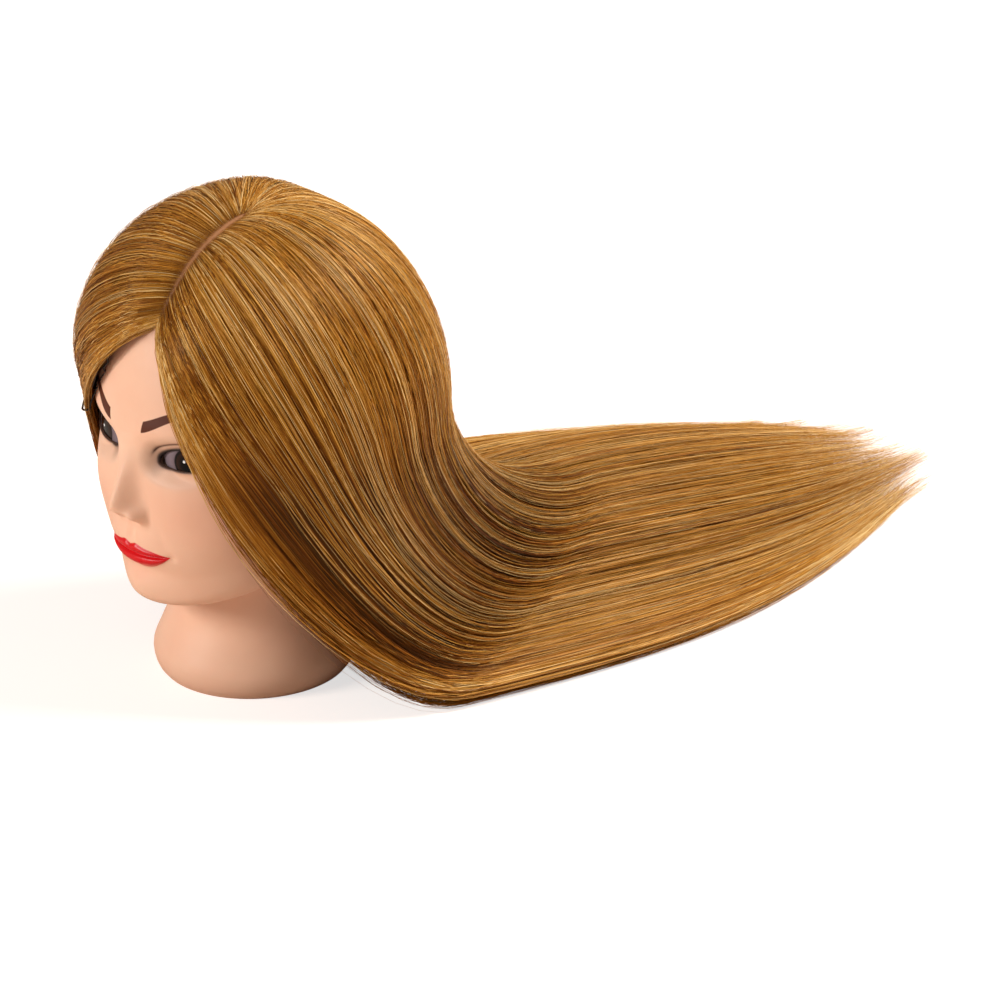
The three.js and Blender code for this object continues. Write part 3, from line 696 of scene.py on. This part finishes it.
def hair_point(around, depth, s, stray=(0.0, 0.0)):
    """A point of hair, in mm, for arrays of the same shape. s runs from 0 at the root to 1 at the tip.
    stray moves the root across and along the parting."""
    lock = locks(around, stray)
    middle, across = lock[2], lock[3]
    one = np.ones_like(s)
    leave = over_scalp(lock, one, depth)
    heading = unit(leave - over_scalp(lock, 0.94 * one, depth))
    heap = lerp(np.where(across > 0, LEFT_HEAP, RIGHT_HEAP), HEAP, middle ** 1.5)
    land = np.stack([LAND_X + LAND_HALF * across * lerp(0.97, 1, depth),
                     leave[..., 1] + lerp(0.86, 1, depth) * LAND_REACH,
                     UNDERSIDE + heap * depth], -1)
    hang = leave + heading * ((leave[..., 2] - land[..., 2]) * STIFFNESS)[..., None]
    bend = np.stack([lerp(leave[..., 0], land[..., 0], 0.86), lerp(leave[..., 1], land[..., 1], 0.48),
                     land[..., 2]], -1)
    t = np.clip((s - SCALP_END) / (FALL_END - SCALP_END), 0, 1)[..., None]
    fall = (1 - t) ** 3 * leave + 3 * (1 - t) ** 2 * t * hang + 3 * (1 - t) * t ** 2 * bend + t ** 3 * land
    v = np.maximum((s - FALL_END) / (1 - FALL_END), 0)
    settle = 1 - (1 - np.minimum(v, 1)) ** 2
    swell = TAIL_BULGE * across * np.sin(math.pi * np.minimum(v, 1))
    drift = (TIP_X - LAND_X) * (settle - v)
    tail = np.stack([lerp(land[..., 0], TIP_X + TIP_HALF * across, v) + swell + drift,
                     lerp(land[..., 1], TAIL_LENGTH - TIP_TAPER * np.abs(across) ** 2.5, v),
                     lerp(land[..., 2], UNDERSIDE + TIP_HEIGHT * depth, np.minimum(v, 1) ** HEAP_FALL)], -1)
    scalp = over_scalp(lock, np.clip(s / SCALP_END, 0, 1), depth)
    return np.where((s < SCALP_END)[..., None], scalp, np.where((s < FALL_END)[..., None], fall, tail))


# %% [markdown]
# ## Hair fibre
# Practice hair is bleached and dyed to an even honey blonde. A strand is a smooth, slightly flattened
# cylinder with a shine along its length, so a head of parallel strands shows bands of light across it. Each
# strand here is a narrow ribbon with a raised spine: its normals turn from side to side like a cylinder's,
# so the bands appear by themselves. Tone varies from strand to strand. On top of that, painted shade makes
# it deeper inside the mass and down the hanging fall, and painted light makes it lighter on the tail and at
# the face's edges. The tips are lighter too, partly because they are bleached most and partly as painted
# light through the thin ends.

# %% Hair finish
def blonde_hair():
    material, shader, node, link = new_material("dyed blonde hair")
    tone = node("ShaderNodeAttribute", {"attribute_name": "tone"}).outputs["Fac"]
    ramp = node("ShaderNodeValToRGB", Fac=tone)
    ramp_stops(ramp, [(0.0, linear("#2A1103")), (0.25, linear("#693309")), (0.5, linear("#A26219")),
                      (0.75, linear("#CC913C")), (1.0, linear("#EBCB8E"))])
    link(ramp.outputs["Color"], shader.inputs["Base Color"])
    shader.inputs["Roughness"].default_value = 0.34
    shader.inputs["IOR"].default_value = 1.55
    shader.inputs["Specular IOR Level"].default_value = 0.42
    # Light that goes into a fibre comes back coloured, next to the white shine from its surface.
    shader.inputs["Specular Tint"].default_value = linear("#E8B46A")
    return material


hair_material = blonde_hair()


def wander(count, steps, size, waves, s):
    """Smooth random wandering along each strand: a few sine waves with random phases."""
    total = np.zeros((count, steps))
    for wave in waves:
        phase = rng.uniform(0, 2 * math.pi, (count, 1))
        strength = rng.normal(0, 1, (count, 1))
        total += strength * np.sin(2 * math.pi * wave * s + phase) / wave ** 0.7
    return size * total / len(waves) ** 0.5


SPINE = 0.55


def ribbons(around, depth, s, width, off_side, off_out, tone):
    """Points, faces and tones of ribbons along the hair map, three points wide with a raised spine."""
    count, steps = s.shape
    around, depth, width, tone = [np.broadcast_to(value, s.shape) for value in (around, depth, width, tone)]
    behind = ease(around[:, :1], 0.25, 0.4) * (1 - ease(around[:, :1], 0.6, 0.75))
    stray = rng.normal(0, 0.9, (count, 1)), rng.normal(0, 1, (count, 1)) * lerp(0.8, 2.6, behind)
    centre = hair_point(around, depth, s, stray)
    outward = unit(hair_point(around, depth + 0.25, s, stray) - hair_point(around, depth - 0.05, s, stray))
    along = unit(np.gradient(centre, axis=1))
    outward = unit(outward - (outward * along).sum(-1, keepdims=True) * along)
    across = np.cross(along, outward)
    centre = centre + across * off_side[..., None] + outward * off_out[..., None]
    twist = rng.normal(0, 0.45, (count, 1)) + rng.normal(0, 0.5, (count, 1)) * s
    lean = np.cos(twist)[..., None] * across + np.sin(twist)[..., None] * outward
    face = np.cos(twist)[..., None] * outward - np.sin(twist)[..., None] * across
    centre[..., 2] = np.maximum(centre[..., 2], 0.5)
    half = (width / 2)[..., None]
    strip = np.stack([centre - lean * half, centre + face * half * SPINE, centre + lean * half], 2)
    strip[..., 2] = np.maximum(strip[..., 2], 0.3)
    strand_start = np.arange(count)[:, None, None] * steps * 3
    row_start = np.arange(steps - 1)[None, :, None] * 3
    corner = strand_start + row_start + np.arange(2)[None, None, :]
    faces = np.stack([corner, corner + 1, corner + 4, corner + 3], -1).reshape(-1, 4)
    return strip.reshape(-1, 3), faces, np.repeat(tone.reshape(-1), 3)


def strand_uv(count, steps, first, total):
    """Each strand has a narrow column of the UV square."""
    column = (np.arange(count)[:, None, None] + first + np.array([0.15, 0.5, 0.85])[None, None, :]) / total
    row = np.linspace(0.01, 0.99, steps)[None, :, None]
    return np.stack(np.broadcast_arrays(column, row), -1).reshape(-1, 2)


STEPS, LOOSE_STEPS = 25, 64
FINE_LOCKS, WIDE_LOCKS = 22, 6


def shared(spread, lock, lock_count):
    """A random value for each strand that it shares with the rest of its lock."""
    return rng.normal(0, spread, lock_count)[lock]


def strands_of(section, count):
    """The strands of one section: where each one runs, how wide it is and its tone."""
    low, high = section / SECTIONS, (section + 1) / SECTIONS
    root = np.sort(rng.uniform(low, high, (count, 1)), axis=0)
    share = (root - low) * SECTIONS * 0.9999
    hidden = rng.uniform(0, 1, (count, 1)) < 0.15
    inner, outer = rng.uniform(0.0, 0.2, (count, 1)), 1 - 0.5 * rng.uniform(0, 1, (count, 1)) ** 1.4
    depth0 = np.where(hidden, inner, outer)
    # Fine locks gather near the skull and wide ones in the tail. A lock has its own place, lift and tone.
    fine_lock, wide_lock = (share * FINE_LOCKS).astype(int), (share * WIDE_LOCKS).astype(int)
    fine_heart = low + (fine_lock + 0.5) / FINE_LOCKS / SECTIONS
    wide_heart = low + (wide_lock + 0.5) / WIDE_LOCKS / SECTIONS
    fine_lift, wide_lift = shared(0.022, fine_lock, FINE_LOCKS), shared(0.05, wide_lock, WIDE_LOCKS)
    fine_shift, wide_shift = shared(0.001, fine_lock, FINE_LOCKS), shared(0.0045, wide_lock, WIDE_LOCKS)
    fine_tone, wide_tone = shared(0.035, fine_lock, FINE_LOCKS), shared(0.02, wide_lock, WIDE_LOCKS)
    wide_length = shared(0.03, wide_lock, WIDE_LOCKS)
    shorter = 0.48 * rng.uniform(0, 1, (count, 1)) ** 1.2
    length = 1.0 + wide_length - shorter + 0.02 * rng.normal(0, 1, (count, 1))
    length = np.clip(length, 0.45, 1.035)
    s = np.linspace(0, 1, STEPS)[None, :] * length
    around = lerp(root, fine_heart, 0.1 + 0.25 * ease(s, 0.1, 0.6))
    around = lerp(around, wide_heart, 0.3 * ease(s, 0.5, 1.0))
    around = around + fine_shift * ease(s, 0.05, 0.4) + wide_shift * ease(s, 0.35, 0.9)
    around = around + rng.normal(0, 0.008, (count, 1)) * ease(s, 0.3, 1.0)
    if section in (0, SECTIONS - 1):
        # Hairs at the face stray out of the edge, a few of them far, so that it isn't a hard line.
        out = -1 if section == 0 else 1
        edge = np.abs(low + (high - low) * (section > 0) - root) * SECTIONS
        strayed = 0.004 + 0.026 * rng.uniform(0, 1, (count, 1)) ** 5
        around = around + out * strayed * (1 - ease(edge, 0.0, 0.5)) * ease(s, 0.04, 0.4)
    depth = depth0 + fine_lift * ease(s, 0.02, 0.2) + wide_lift * ease(s, 0.2, 0.6)
    depth = np.clip(depth + wander(count, STEPS, 0.025, (1.2, 2.6), s), 0.01, 1.05)
    calm = ease(s, 0.05, 0.35)
    frizz = 1 + 0.8 * ease(s, 0.5, 0.8) + 2.2 * ease(s, 0.8, 1.0)
    off_side = wander(count, STEPS, 0.9, (1.3, 3.1, 5.3), s) * calm * frizz
    off_out = wander(count, STEPS, 0.35, (2.3, 4.7), s) * calm * frizz
    width = lerp(0.46, 0.24, rng.uniform(0, 1, (count, 1))) * (1 - 0.7 * ease(s / length, 0.7, 1.0))
    width = width * lerp(0.6, 1.0, ease(s, 0, 0.06))
    tone = 0.45 + rng.normal(0, 0.17, (count, 1)) + fine_tone + wide_tone
    inside = ease(np.minimum(root, 1 - root), 0.004, 0.06)
    # Painted shade and light: the hanging fall is darker and the tail on the table a little lighter, as
    # light from above would leave them, and hair deep in the mass is darker, for the shade between strands.
    # The ends are lightest, partly because they are bleached most and partly as painted light through the
    # thin tips.
    # The roots beside the face are painted lighter, for the light that shines through the thin hair there.
    tone = tone - 0.33 * ease(s, 0.15, 0.25) * (1 - ease(s, 0.4, 0.53)) * inside + 0.03 * ease(s, 0.5, 0.7)
    tone = tone + 0.36 * ease(s / length, 0.75, 1.0) - 0.42 * (1 - depth0) * inside
    tone = tone + (1 - inside) * (0.06 + 0.18 * (1 - ease(s, 0.12, 0.25)))
    return around, depth, s, width, off_side, off_out, np.clip(tone, 0, 1)


def loose_hairs_of(section, count):
    """Fine kinked hairs that stand clear of the mass and end short."""
    low, high = section / SECTIONS, (section + 1) / SECTIONS
    root = rng.uniform(low, high, (count, 1))
    length = rng.uniform(0.3, 1.0, (count, 1)) ** 0.5
    s = np.linspace(0, 1, LOOSE_STEPS)[None, :] * length
    around = root + rng.normal(0, 0.014, (count, 1)) * s
    depth = 1.0 + rng.uniform(0, 0.06, (count, 1))
    calm = ease(s, 0.02, 0.3)
    stand = np.abs(rng.normal(0, 1.1, (count, 1))) * ease(s, 0.03, 0.5)
    off_side = wander(count, LOOSE_STEPS, 2.6, (1.1, 3.7, 9.1, 17), s) * calm
    off_out = stand + wander(count, LOOSE_STEPS, 0.5, (2.1, 7.1, 15), s) * calm
    width = 0.24 * (1 - 0.6 * s / length)
    tone = rng.uniform(0.5, 0.95, (count, 1))
    return around, depth, s, width, off_side, off_out, tone


def wisps_of(section, count):
    """Fine hairs at the face that leave the mass, cross the skin and come back to it lower down."""
    edge, out = (0.0, -1) if section == 0 else (1.0, 1)
    root = edge - out * rng.uniform(0, 0.014, (count, 1))
    s = np.linspace(0.004, 1, LOOSE_STEPS)[None, :] * rng.uniform(0.3, 0.9, (count, 1))
    reach = 0.002 + 0.013 * rng.uniform(0, 1, (count, 1)) ** 2.4
    swing = ease(s, 0.01, 0.12) * (1 - 0.75 * ease(s, 0.16, 0.45))
    around = root + out * reach * swing
    depth = rng.uniform(0.2, 1.0, (count, 1))
    off_side = wander(count, LOOSE_STEPS, 0.8, (1.7, 4.1, 9.0), s) * ease(s, 0.02, 0.3)
    off_out = wander(count, LOOSE_STEPS, 0.3, (2.3, 6.1), s) * ease(s, 0.02, 0.3)
    width = 0.3 * (1 - 0.6 * s / s[:, -1:])
    tone = rng.uniform(0.6, 0.95, (count, 1))
    return around, depth, s, width, off_side, off_out, tone


# %% [markdown]
# ## Building the hair
# Strands alone would let light through the mass, so each section also has a core: a smooth closed form
# that lies well under the strands. It is darker than they are, as painted shade for the inside of the mass.
# Strands of one section make one piece, so that each packed section of hair has one piece that stands for
# it.

# %% Hair sections
CORE_STEPS, CORE_END, CORE_COLUMNS = 40, 0.84, 12
# A core's cross section: how far across the section and how deep in the mass each corner is.
CORE_OUTLINE = [(0, 0.08), (0.25, 0.08), (0.5, 0.08), (0.75, 0.08), (1, 0.08), (1, 0.5), (0.85, 0.6),
                (0.6, 0.64), (0.4, 0.64), (0.15, 0.6), (0, 0.5)]


def core_of(section):
    """A closed form under the strands of a section."""
    # The two sections beside the face have none at their free edge, where the hair is thin.
    free = 0.4
    low = (free if section == 0 else section + 0.02) / SECTIONS
    high = (section + (1 - free if section == SECTIONS - 1 else 0.98)) / SECTIONS
    corners = len(CORE_OUTLINE)
    s = np.broadcast_to(np.linspace(0.012, CORE_END, CORE_STEPS)[:, None], (CORE_STEPS, corners))
    around = np.broadcast_to([lerp(low, high, share) for share, _ in CORE_OUTLINE], s.shape)
    thin = lerp(1, 0.5, ease(s, 0.62, CORE_END))
    depth = np.array([deep for _, deep in CORE_OUTLINE])[None] * thin * ease(s, 0.0, 0.1)
    points = hair_point(around, depth, s)
    points[..., 2] = np.maximum(points[..., 2], UNDERSIDE)
    points[0] = points[0].mean(0)
    points[-1] = points[-1].mean(0)
    return points.reshape(-1, 3), grid_faces(CORE_STEPS, corners)


def core_uv(first, total):
    """A core has the last columns of the UV square."""
    column = (first + 1 + (CORE_COLUMNS - 2) * np.linspace(0, 1, len(CORE_OUTLINE))) / total
    row = np.linspace(0.01, 0.99, CORE_STEPS)[:, None]
    return np.stack(np.broadcast_arrays(column, row), -1).reshape(-1, 2)


STRANDS = 1750
LOOSE = 60
WISPS = 110
AROUND = ["fringe", "temple", "front", "side", "rear", "nape"]
NAMES = ["left_" + place for place in AROUND] + ["back_left", "back_right"]
NAMES += ["right_" + place for place in reversed(AROUND)]

for section, name in enumerate(NAMES):
    at_edge = section in (0, SECTIONS - 1)
    core_points, core_faces = core_of(section)
    loose = wisps_of(section, WISPS) if at_edge else loose_hairs_of(section, LOOSE)
    loose_count = len(loose[0])
    total = STRANDS + loose_count + CORE_COLUMNS
    # The cores' dark tones are painted shade for the inside of the hair; beside the face, where it is thin,
    # lighter.
    parts = [(core_points, core_faces, np.full(len(core_points), 0.34 if at_edge else 0.14)),
             ribbons(*strands_of(section, STRANDS)),
             ribbons(*loose)]
    uv = [core_uv(STRANDS + loose_count, total), strand_uv(STRANDS, STEPS, 0, total),
          strand_uv(loose_count, LOOSE_STEPS, STRANDS, total)]
    starts = np.cumsum([0] + [len(points) for points, _, _ in parts[:-1]])
    piece = make_piece("strands_" + name, np.concatenate([points for points, _, _ in parts]),
                       np.concatenate([faces + start for (_, faces, _), start in zip(parts, starts)]),
                       hair_material)
    give(piece, "tone", np.concatenate([tones for _, _, tones in parts]))
    lay_uv(piece, np.concatenate(uv))
    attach(piece, "head")
    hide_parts("hair_" + name)
print("hair pieces", len(NAMES), "strands each", STRANDS)

# %% [markdown]
# ## Hair pin
# The pin is spring steel wire, bent back on itself, waved on one leg and dipped in black lacquer. A round
# wire swept along a line gives it: one straight leg, a tight bend, and the waved leg that grips the hair.
# The line is drawn flat, by its place across the legs and its height over the bend, and then laid where the
# packed pin is.

# %% Hair pin
PIN_HALF_GAP, PIN_WIRE, AROUND_WIRE = 2.0, 0.6, 12
WAVE_FROM, WAVE_TO, HALF_WAVE, WAVE_SIZE = 14.0, 45.0, 5.2, 0.6


def black_lacquer():
    material, shader, node, link = new_material("black lacquered spring steel")
    place = node("ShaderNodeTexCoord").outputs["Object"]
    wear = node("ShaderNodeTexNoise", Vector=place, Scale=grain(1.11), Detail=3.0)
    tint = node("ShaderNodeValToRGB", Fac=wear.outputs["Fac"])
    ramp_stops(tint, [(0.35, linear("#0B0908")), (0.75, linear("#241C18"))])
    link(tint.outputs["Color"], shader.inputs["Base Color"])
    rough = node("ShaderNodeMapRange", Value=wear.outputs["Fac"], To_Min=0.22, To_Max=0.4)
    link(rough.outputs["Result"], shader.inputs["Roughness"])
    shader.inputs["IOR"].default_value = 1.5
    return material


def hair_pin():
    # It slides bend first, so its legs run up against the slide, and its packed points give their plane.
    up = -np.array(Vector(frame["joints"][0]["axis"]).normalized())
    packed_points = np.array([v.co for v in frame["nodes"]["hair_pin"].data.vertices]) / MM
    middle = packed_points.mean(0)
    spread = packed_points - middle
    heights = spread @ up
    flat = spread - heights[:, None] * up
    out = unit(np.linalg.svd(flat, full_matrices=False)[2][0])
    toward = middle - np.array([0, SKULL_SET_BACK, BROW_HEIGHT])
    out = out * np.sign(out @ toward)
    side = np.cross(up, out)
    foot = middle + up * heights.min()
    length, half = heights.max() - heights.min() - PIN_WIRE, PIN_HALF_GAP
    line = [(half, h) for h in np.linspace(length, half, 22)]
    line += [(half * math.cos(a), half - half * math.sin(a)) for a in np.linspace(0.2, math.pi - 0.2, 12)]
    for h in np.linspace(half, length, 60):
        wave = math.sin((h - WAVE_FROM) / HALF_WAVE * math.pi) if WAVE_FROM < h < WAVE_TO else 0.0
        line.append((-half + wave * WAVE_SIZE, h))
    line = np.array(line)
    centre = foot + PIN_WIRE * up + line[:, :1] * out + line[:, 1:] * up
    # The bend springs clear of the hair's front edge, and the ends of the legs sink into it.
    height = line[:, 1:]
    forward = side * np.sign(-side[1])
    centre = centre + forward * 2.4 * (1 - ease(height, 1, 11)) + out * (1.0 - 3.4 * ease(height, 2, 26))
    along = unit(np.gradient(centre, axis=0))
    normal = np.cross(side, along)
    angles = np.linspace(0, 2 * math.pi, AROUND_WIRE, endpoint=False)
    rings = (centre[:, None] + PIN_WIRE * np.cos(angles)[None, :, None] * normal[:, None]
             + PIN_WIRE * np.sin(angles)[None, :, None] * side[None, None])
    tips = rings[[0, -1]].mean(1, keepdims=True).repeat(AROUND_WIRE, 1)
    rings = np.concatenate([tips[:1], rings, tips[1:]])
    pin = make_piece("pin", rings, grid_faces(len(rings), AROUND_WIRE), black_lacquer())
    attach(pin, "hair_pin")
    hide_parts("hair_pin")
    print("pin length", round(length, 1), "mm")


hair_pin()

# %% [markdown]
# ## Foot of the neck
# A disc and a socket of injection-moulded ABS close the neck from below, in the colour of the skin. Their
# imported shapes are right, so they only get a finish: satin plastic with a fine spark-eroded texture. The
# foam and the adhesive inside the head can't be seen, but get their own finishes too.

# %% Plastics inside the neck and the head
def moulded(name, light, dark, roughness, grain_size):
    """A moulded plastic or foam: two close tones mottled together and a fine relief, grains in mm."""
    material, shader, node, link = new_material(name)
    place = node("ShaderNodeTexCoord").outputs["Object"]
    noise = node("ShaderNodeTexNoise", Vector=place, Scale=grain(grain_size), Detail=4.0)
    tint = node("ShaderNodeValToRGB", Fac=noise.outputs["Fac"])
    ramp_stops(tint, [(0.35, linear(dark)), (0.65, linear(light))])
    link(tint.outputs["Color"], shader.inputs["Base Color"])
    depth = grain_size * MM * 0.2
    relief = node("ShaderNodeBump", Strength=0.2, Distance=depth, Height=noise.outputs["Fac"])
    link(relief.outputs["Normal"], shader.inputs["Normal"])
    shader.inputs["Roughness"].default_value = roughness
    shader.inputs["IOR"].default_value = 1.5
    return material


abs_plastic = moulded("moulded ABS", "#E8BFA4", "#DFB294", 0.42, 0.5)
pu_foam = moulded("rigid PU foam", "#EFE4C4", "#D9CBA2", 0.85, 1.2)
adhesive = moulded("dried root adhesive", "#DDD0B8", "#C9B898", 0.5, 2.5)
for node_name, finish in [("clamp_socket", abs_plastic), ("neck_base_plate", abs_plastic),
                          ("foam_core", pu_foam), ("hair_root_lining", adhesive)]:
    cad_mesh = frame["nodes"][node_name].data
    cad_mesh.materials.clear()
    cad_mesh.materials.append(finish)

# %% [markdown]
# ## Table, light and camera
# The head stands on a white sweep under large soft lights, as for a catalogue. The key is high behind it,
# to the head's left, which puts a band of shine over the crown and leaves the fall deeper, along with the
# painted shade in the hair's tone. A weaker light in front fills the face. The sweep glows a little to the
# camera only, so that it is as bright as the room behind it and doesn't light the hair from below.

# %% Floor
def white_sweep():
    material, shader, node, link = new_material("white paper sweep")
    place = node("ShaderNodeTexCoord").outputs["Object"]
    fibres = node("ShaderNodeTexNoise", Vector=place, Scale=grain(2.5))
    tint = node("ShaderNodeValToRGB", Fac=fibres.outputs["Fac"])
    ramp_stops(tint, [(0.0, linear("#C8B6A8")), (1.0, linear("#CEBCAE"))])
    link(tint.outputs["Color"], shader.inputs["Base Color"])
    shader.inputs["Roughness"].default_value = 0.8
    shader.inputs["Emission Color"].default_value = (1, 1, 1, 1)
    # Past the lights the paper glows more, so that it stays as white as the room behind it.
    away = node("ShaderNodeVectorMath", {"operation": "LENGTH"}, i0=place).outputs["Value"]
    lit = node("ShaderNodeMapRange", Value=away, From_Min=0.6, From_Max=2.2, To_Min=0.68, To_Max=1.0)
    seen = node("ShaderNodeLightPath").outputs["Is Camera Ray"]
    glow = node("ShaderNodeMath", {"operation": "MULTIPLY"}, i0=seen, i1=lit.outputs["Result"])
    link(glow.outputs[0], shader.inputs["Emission Strength"])
    reach = 9000
    corners = [(-reach, -reach, 0), (reach, -reach, 0), (reach, reach, 0), (-reach, reach, 0)]
    floor = make_piece("floor", corners, [[0, 1, 2, 3]], material)


white_sweep()

# %% Lights
def white_room():
    """A white room that is brighter to look at than it lights, as a lit backdrop behind shaded walls is."""
    world = bpy.data.worlds.new("white room")
    world.use_nodes = True
    nodes, link = world.node_tree.nodes, world.node_tree.links.new
    nodes["Background"].inputs["Color"].default_value = (1, 0.91, 0.84, 1)
    nodes["Background"].inputs["Strength"].default_value = 0.25
    backdrop = nodes.new("ShaderNodeBackground")
    backdrop.inputs["Color"].default_value = (1, 1, 1, 1)
    backdrop.inputs["Strength"].default_value = 1.05
    seen = nodes.new("ShaderNodeLightPath").outputs["Is Camera Ray"]
    mix = nodes.new("ShaderNodeMixShader")
    link(seen, mix.inputs[0])
    link(nodes["Background"].outputs[0], mix.inputs[1])
    link(backdrop.outputs[0], mix.inputs[2])
    link(mix.outputs[0], nodes["World Output"].inputs["Surface"])
    bpy.context.scene.world = world


white_room()
bpy.context.scene.view_settings.view_transform = "Standard"


def soft_light(name, place, target, size, power):
    """A square light at a place in metres, turned to its target."""
    data = bpy.data.lights.new(name, "AREA")
    data.shape = "SQUARE"
    data.size = size
    data.energy = power
    light = bpy.data.objects.new(name, data)
    light.location = place
    light.rotation_euler = (Vector(target) - Vector(place)).to_track_quat("-Z", "Y").to_euler()
    bpy.context.scene.collection.objects.link(light)


soft_light("key", (1.0, 1.1, 1.75), (0, 0.15, 0.1), 0.9, 70)
soft_light("front", (-0.65, -1.7, 0.9), (0, 0, 0.12), 0.7, 30)

# %% Camera
AZIMUTH, ELEVATION, DISTANCE = math.radians(47), math.radians(23), 1.6
AIM_RIGHT, AIM_UP, FOCAL = 0.138558, 0.088915, 101.4
back = Vector((math.sin(AZIMUTH) * math.cos(ELEVATION), -math.cos(AZIMUTH) * math.cos(ELEVATION),
               math.sin(ELEVATION)))
right = Vector((math.cos(AZIMUTH), math.sin(AZIMUTH), 0))
upward = back.cross(right)
camera_data = bpy.data.cameras.new("camera")
camera_data.sensor_width = 36
camera_data.lens = FOCAL
camera = bpy.data.objects.new("camera", camera_data)
camera.matrix_world = Matrix.Translation(right * AIM_RIGHT + upward * AIM_UP + back * DISTANCE) @ Matrix(
    (right, upward, back)).transposed().to_4x4()
bpy.context.scene.collection.objects.link(camera)
bpy.context.scene.camera = camera
print("camera at", [round(c, 3) for c in camera.location])
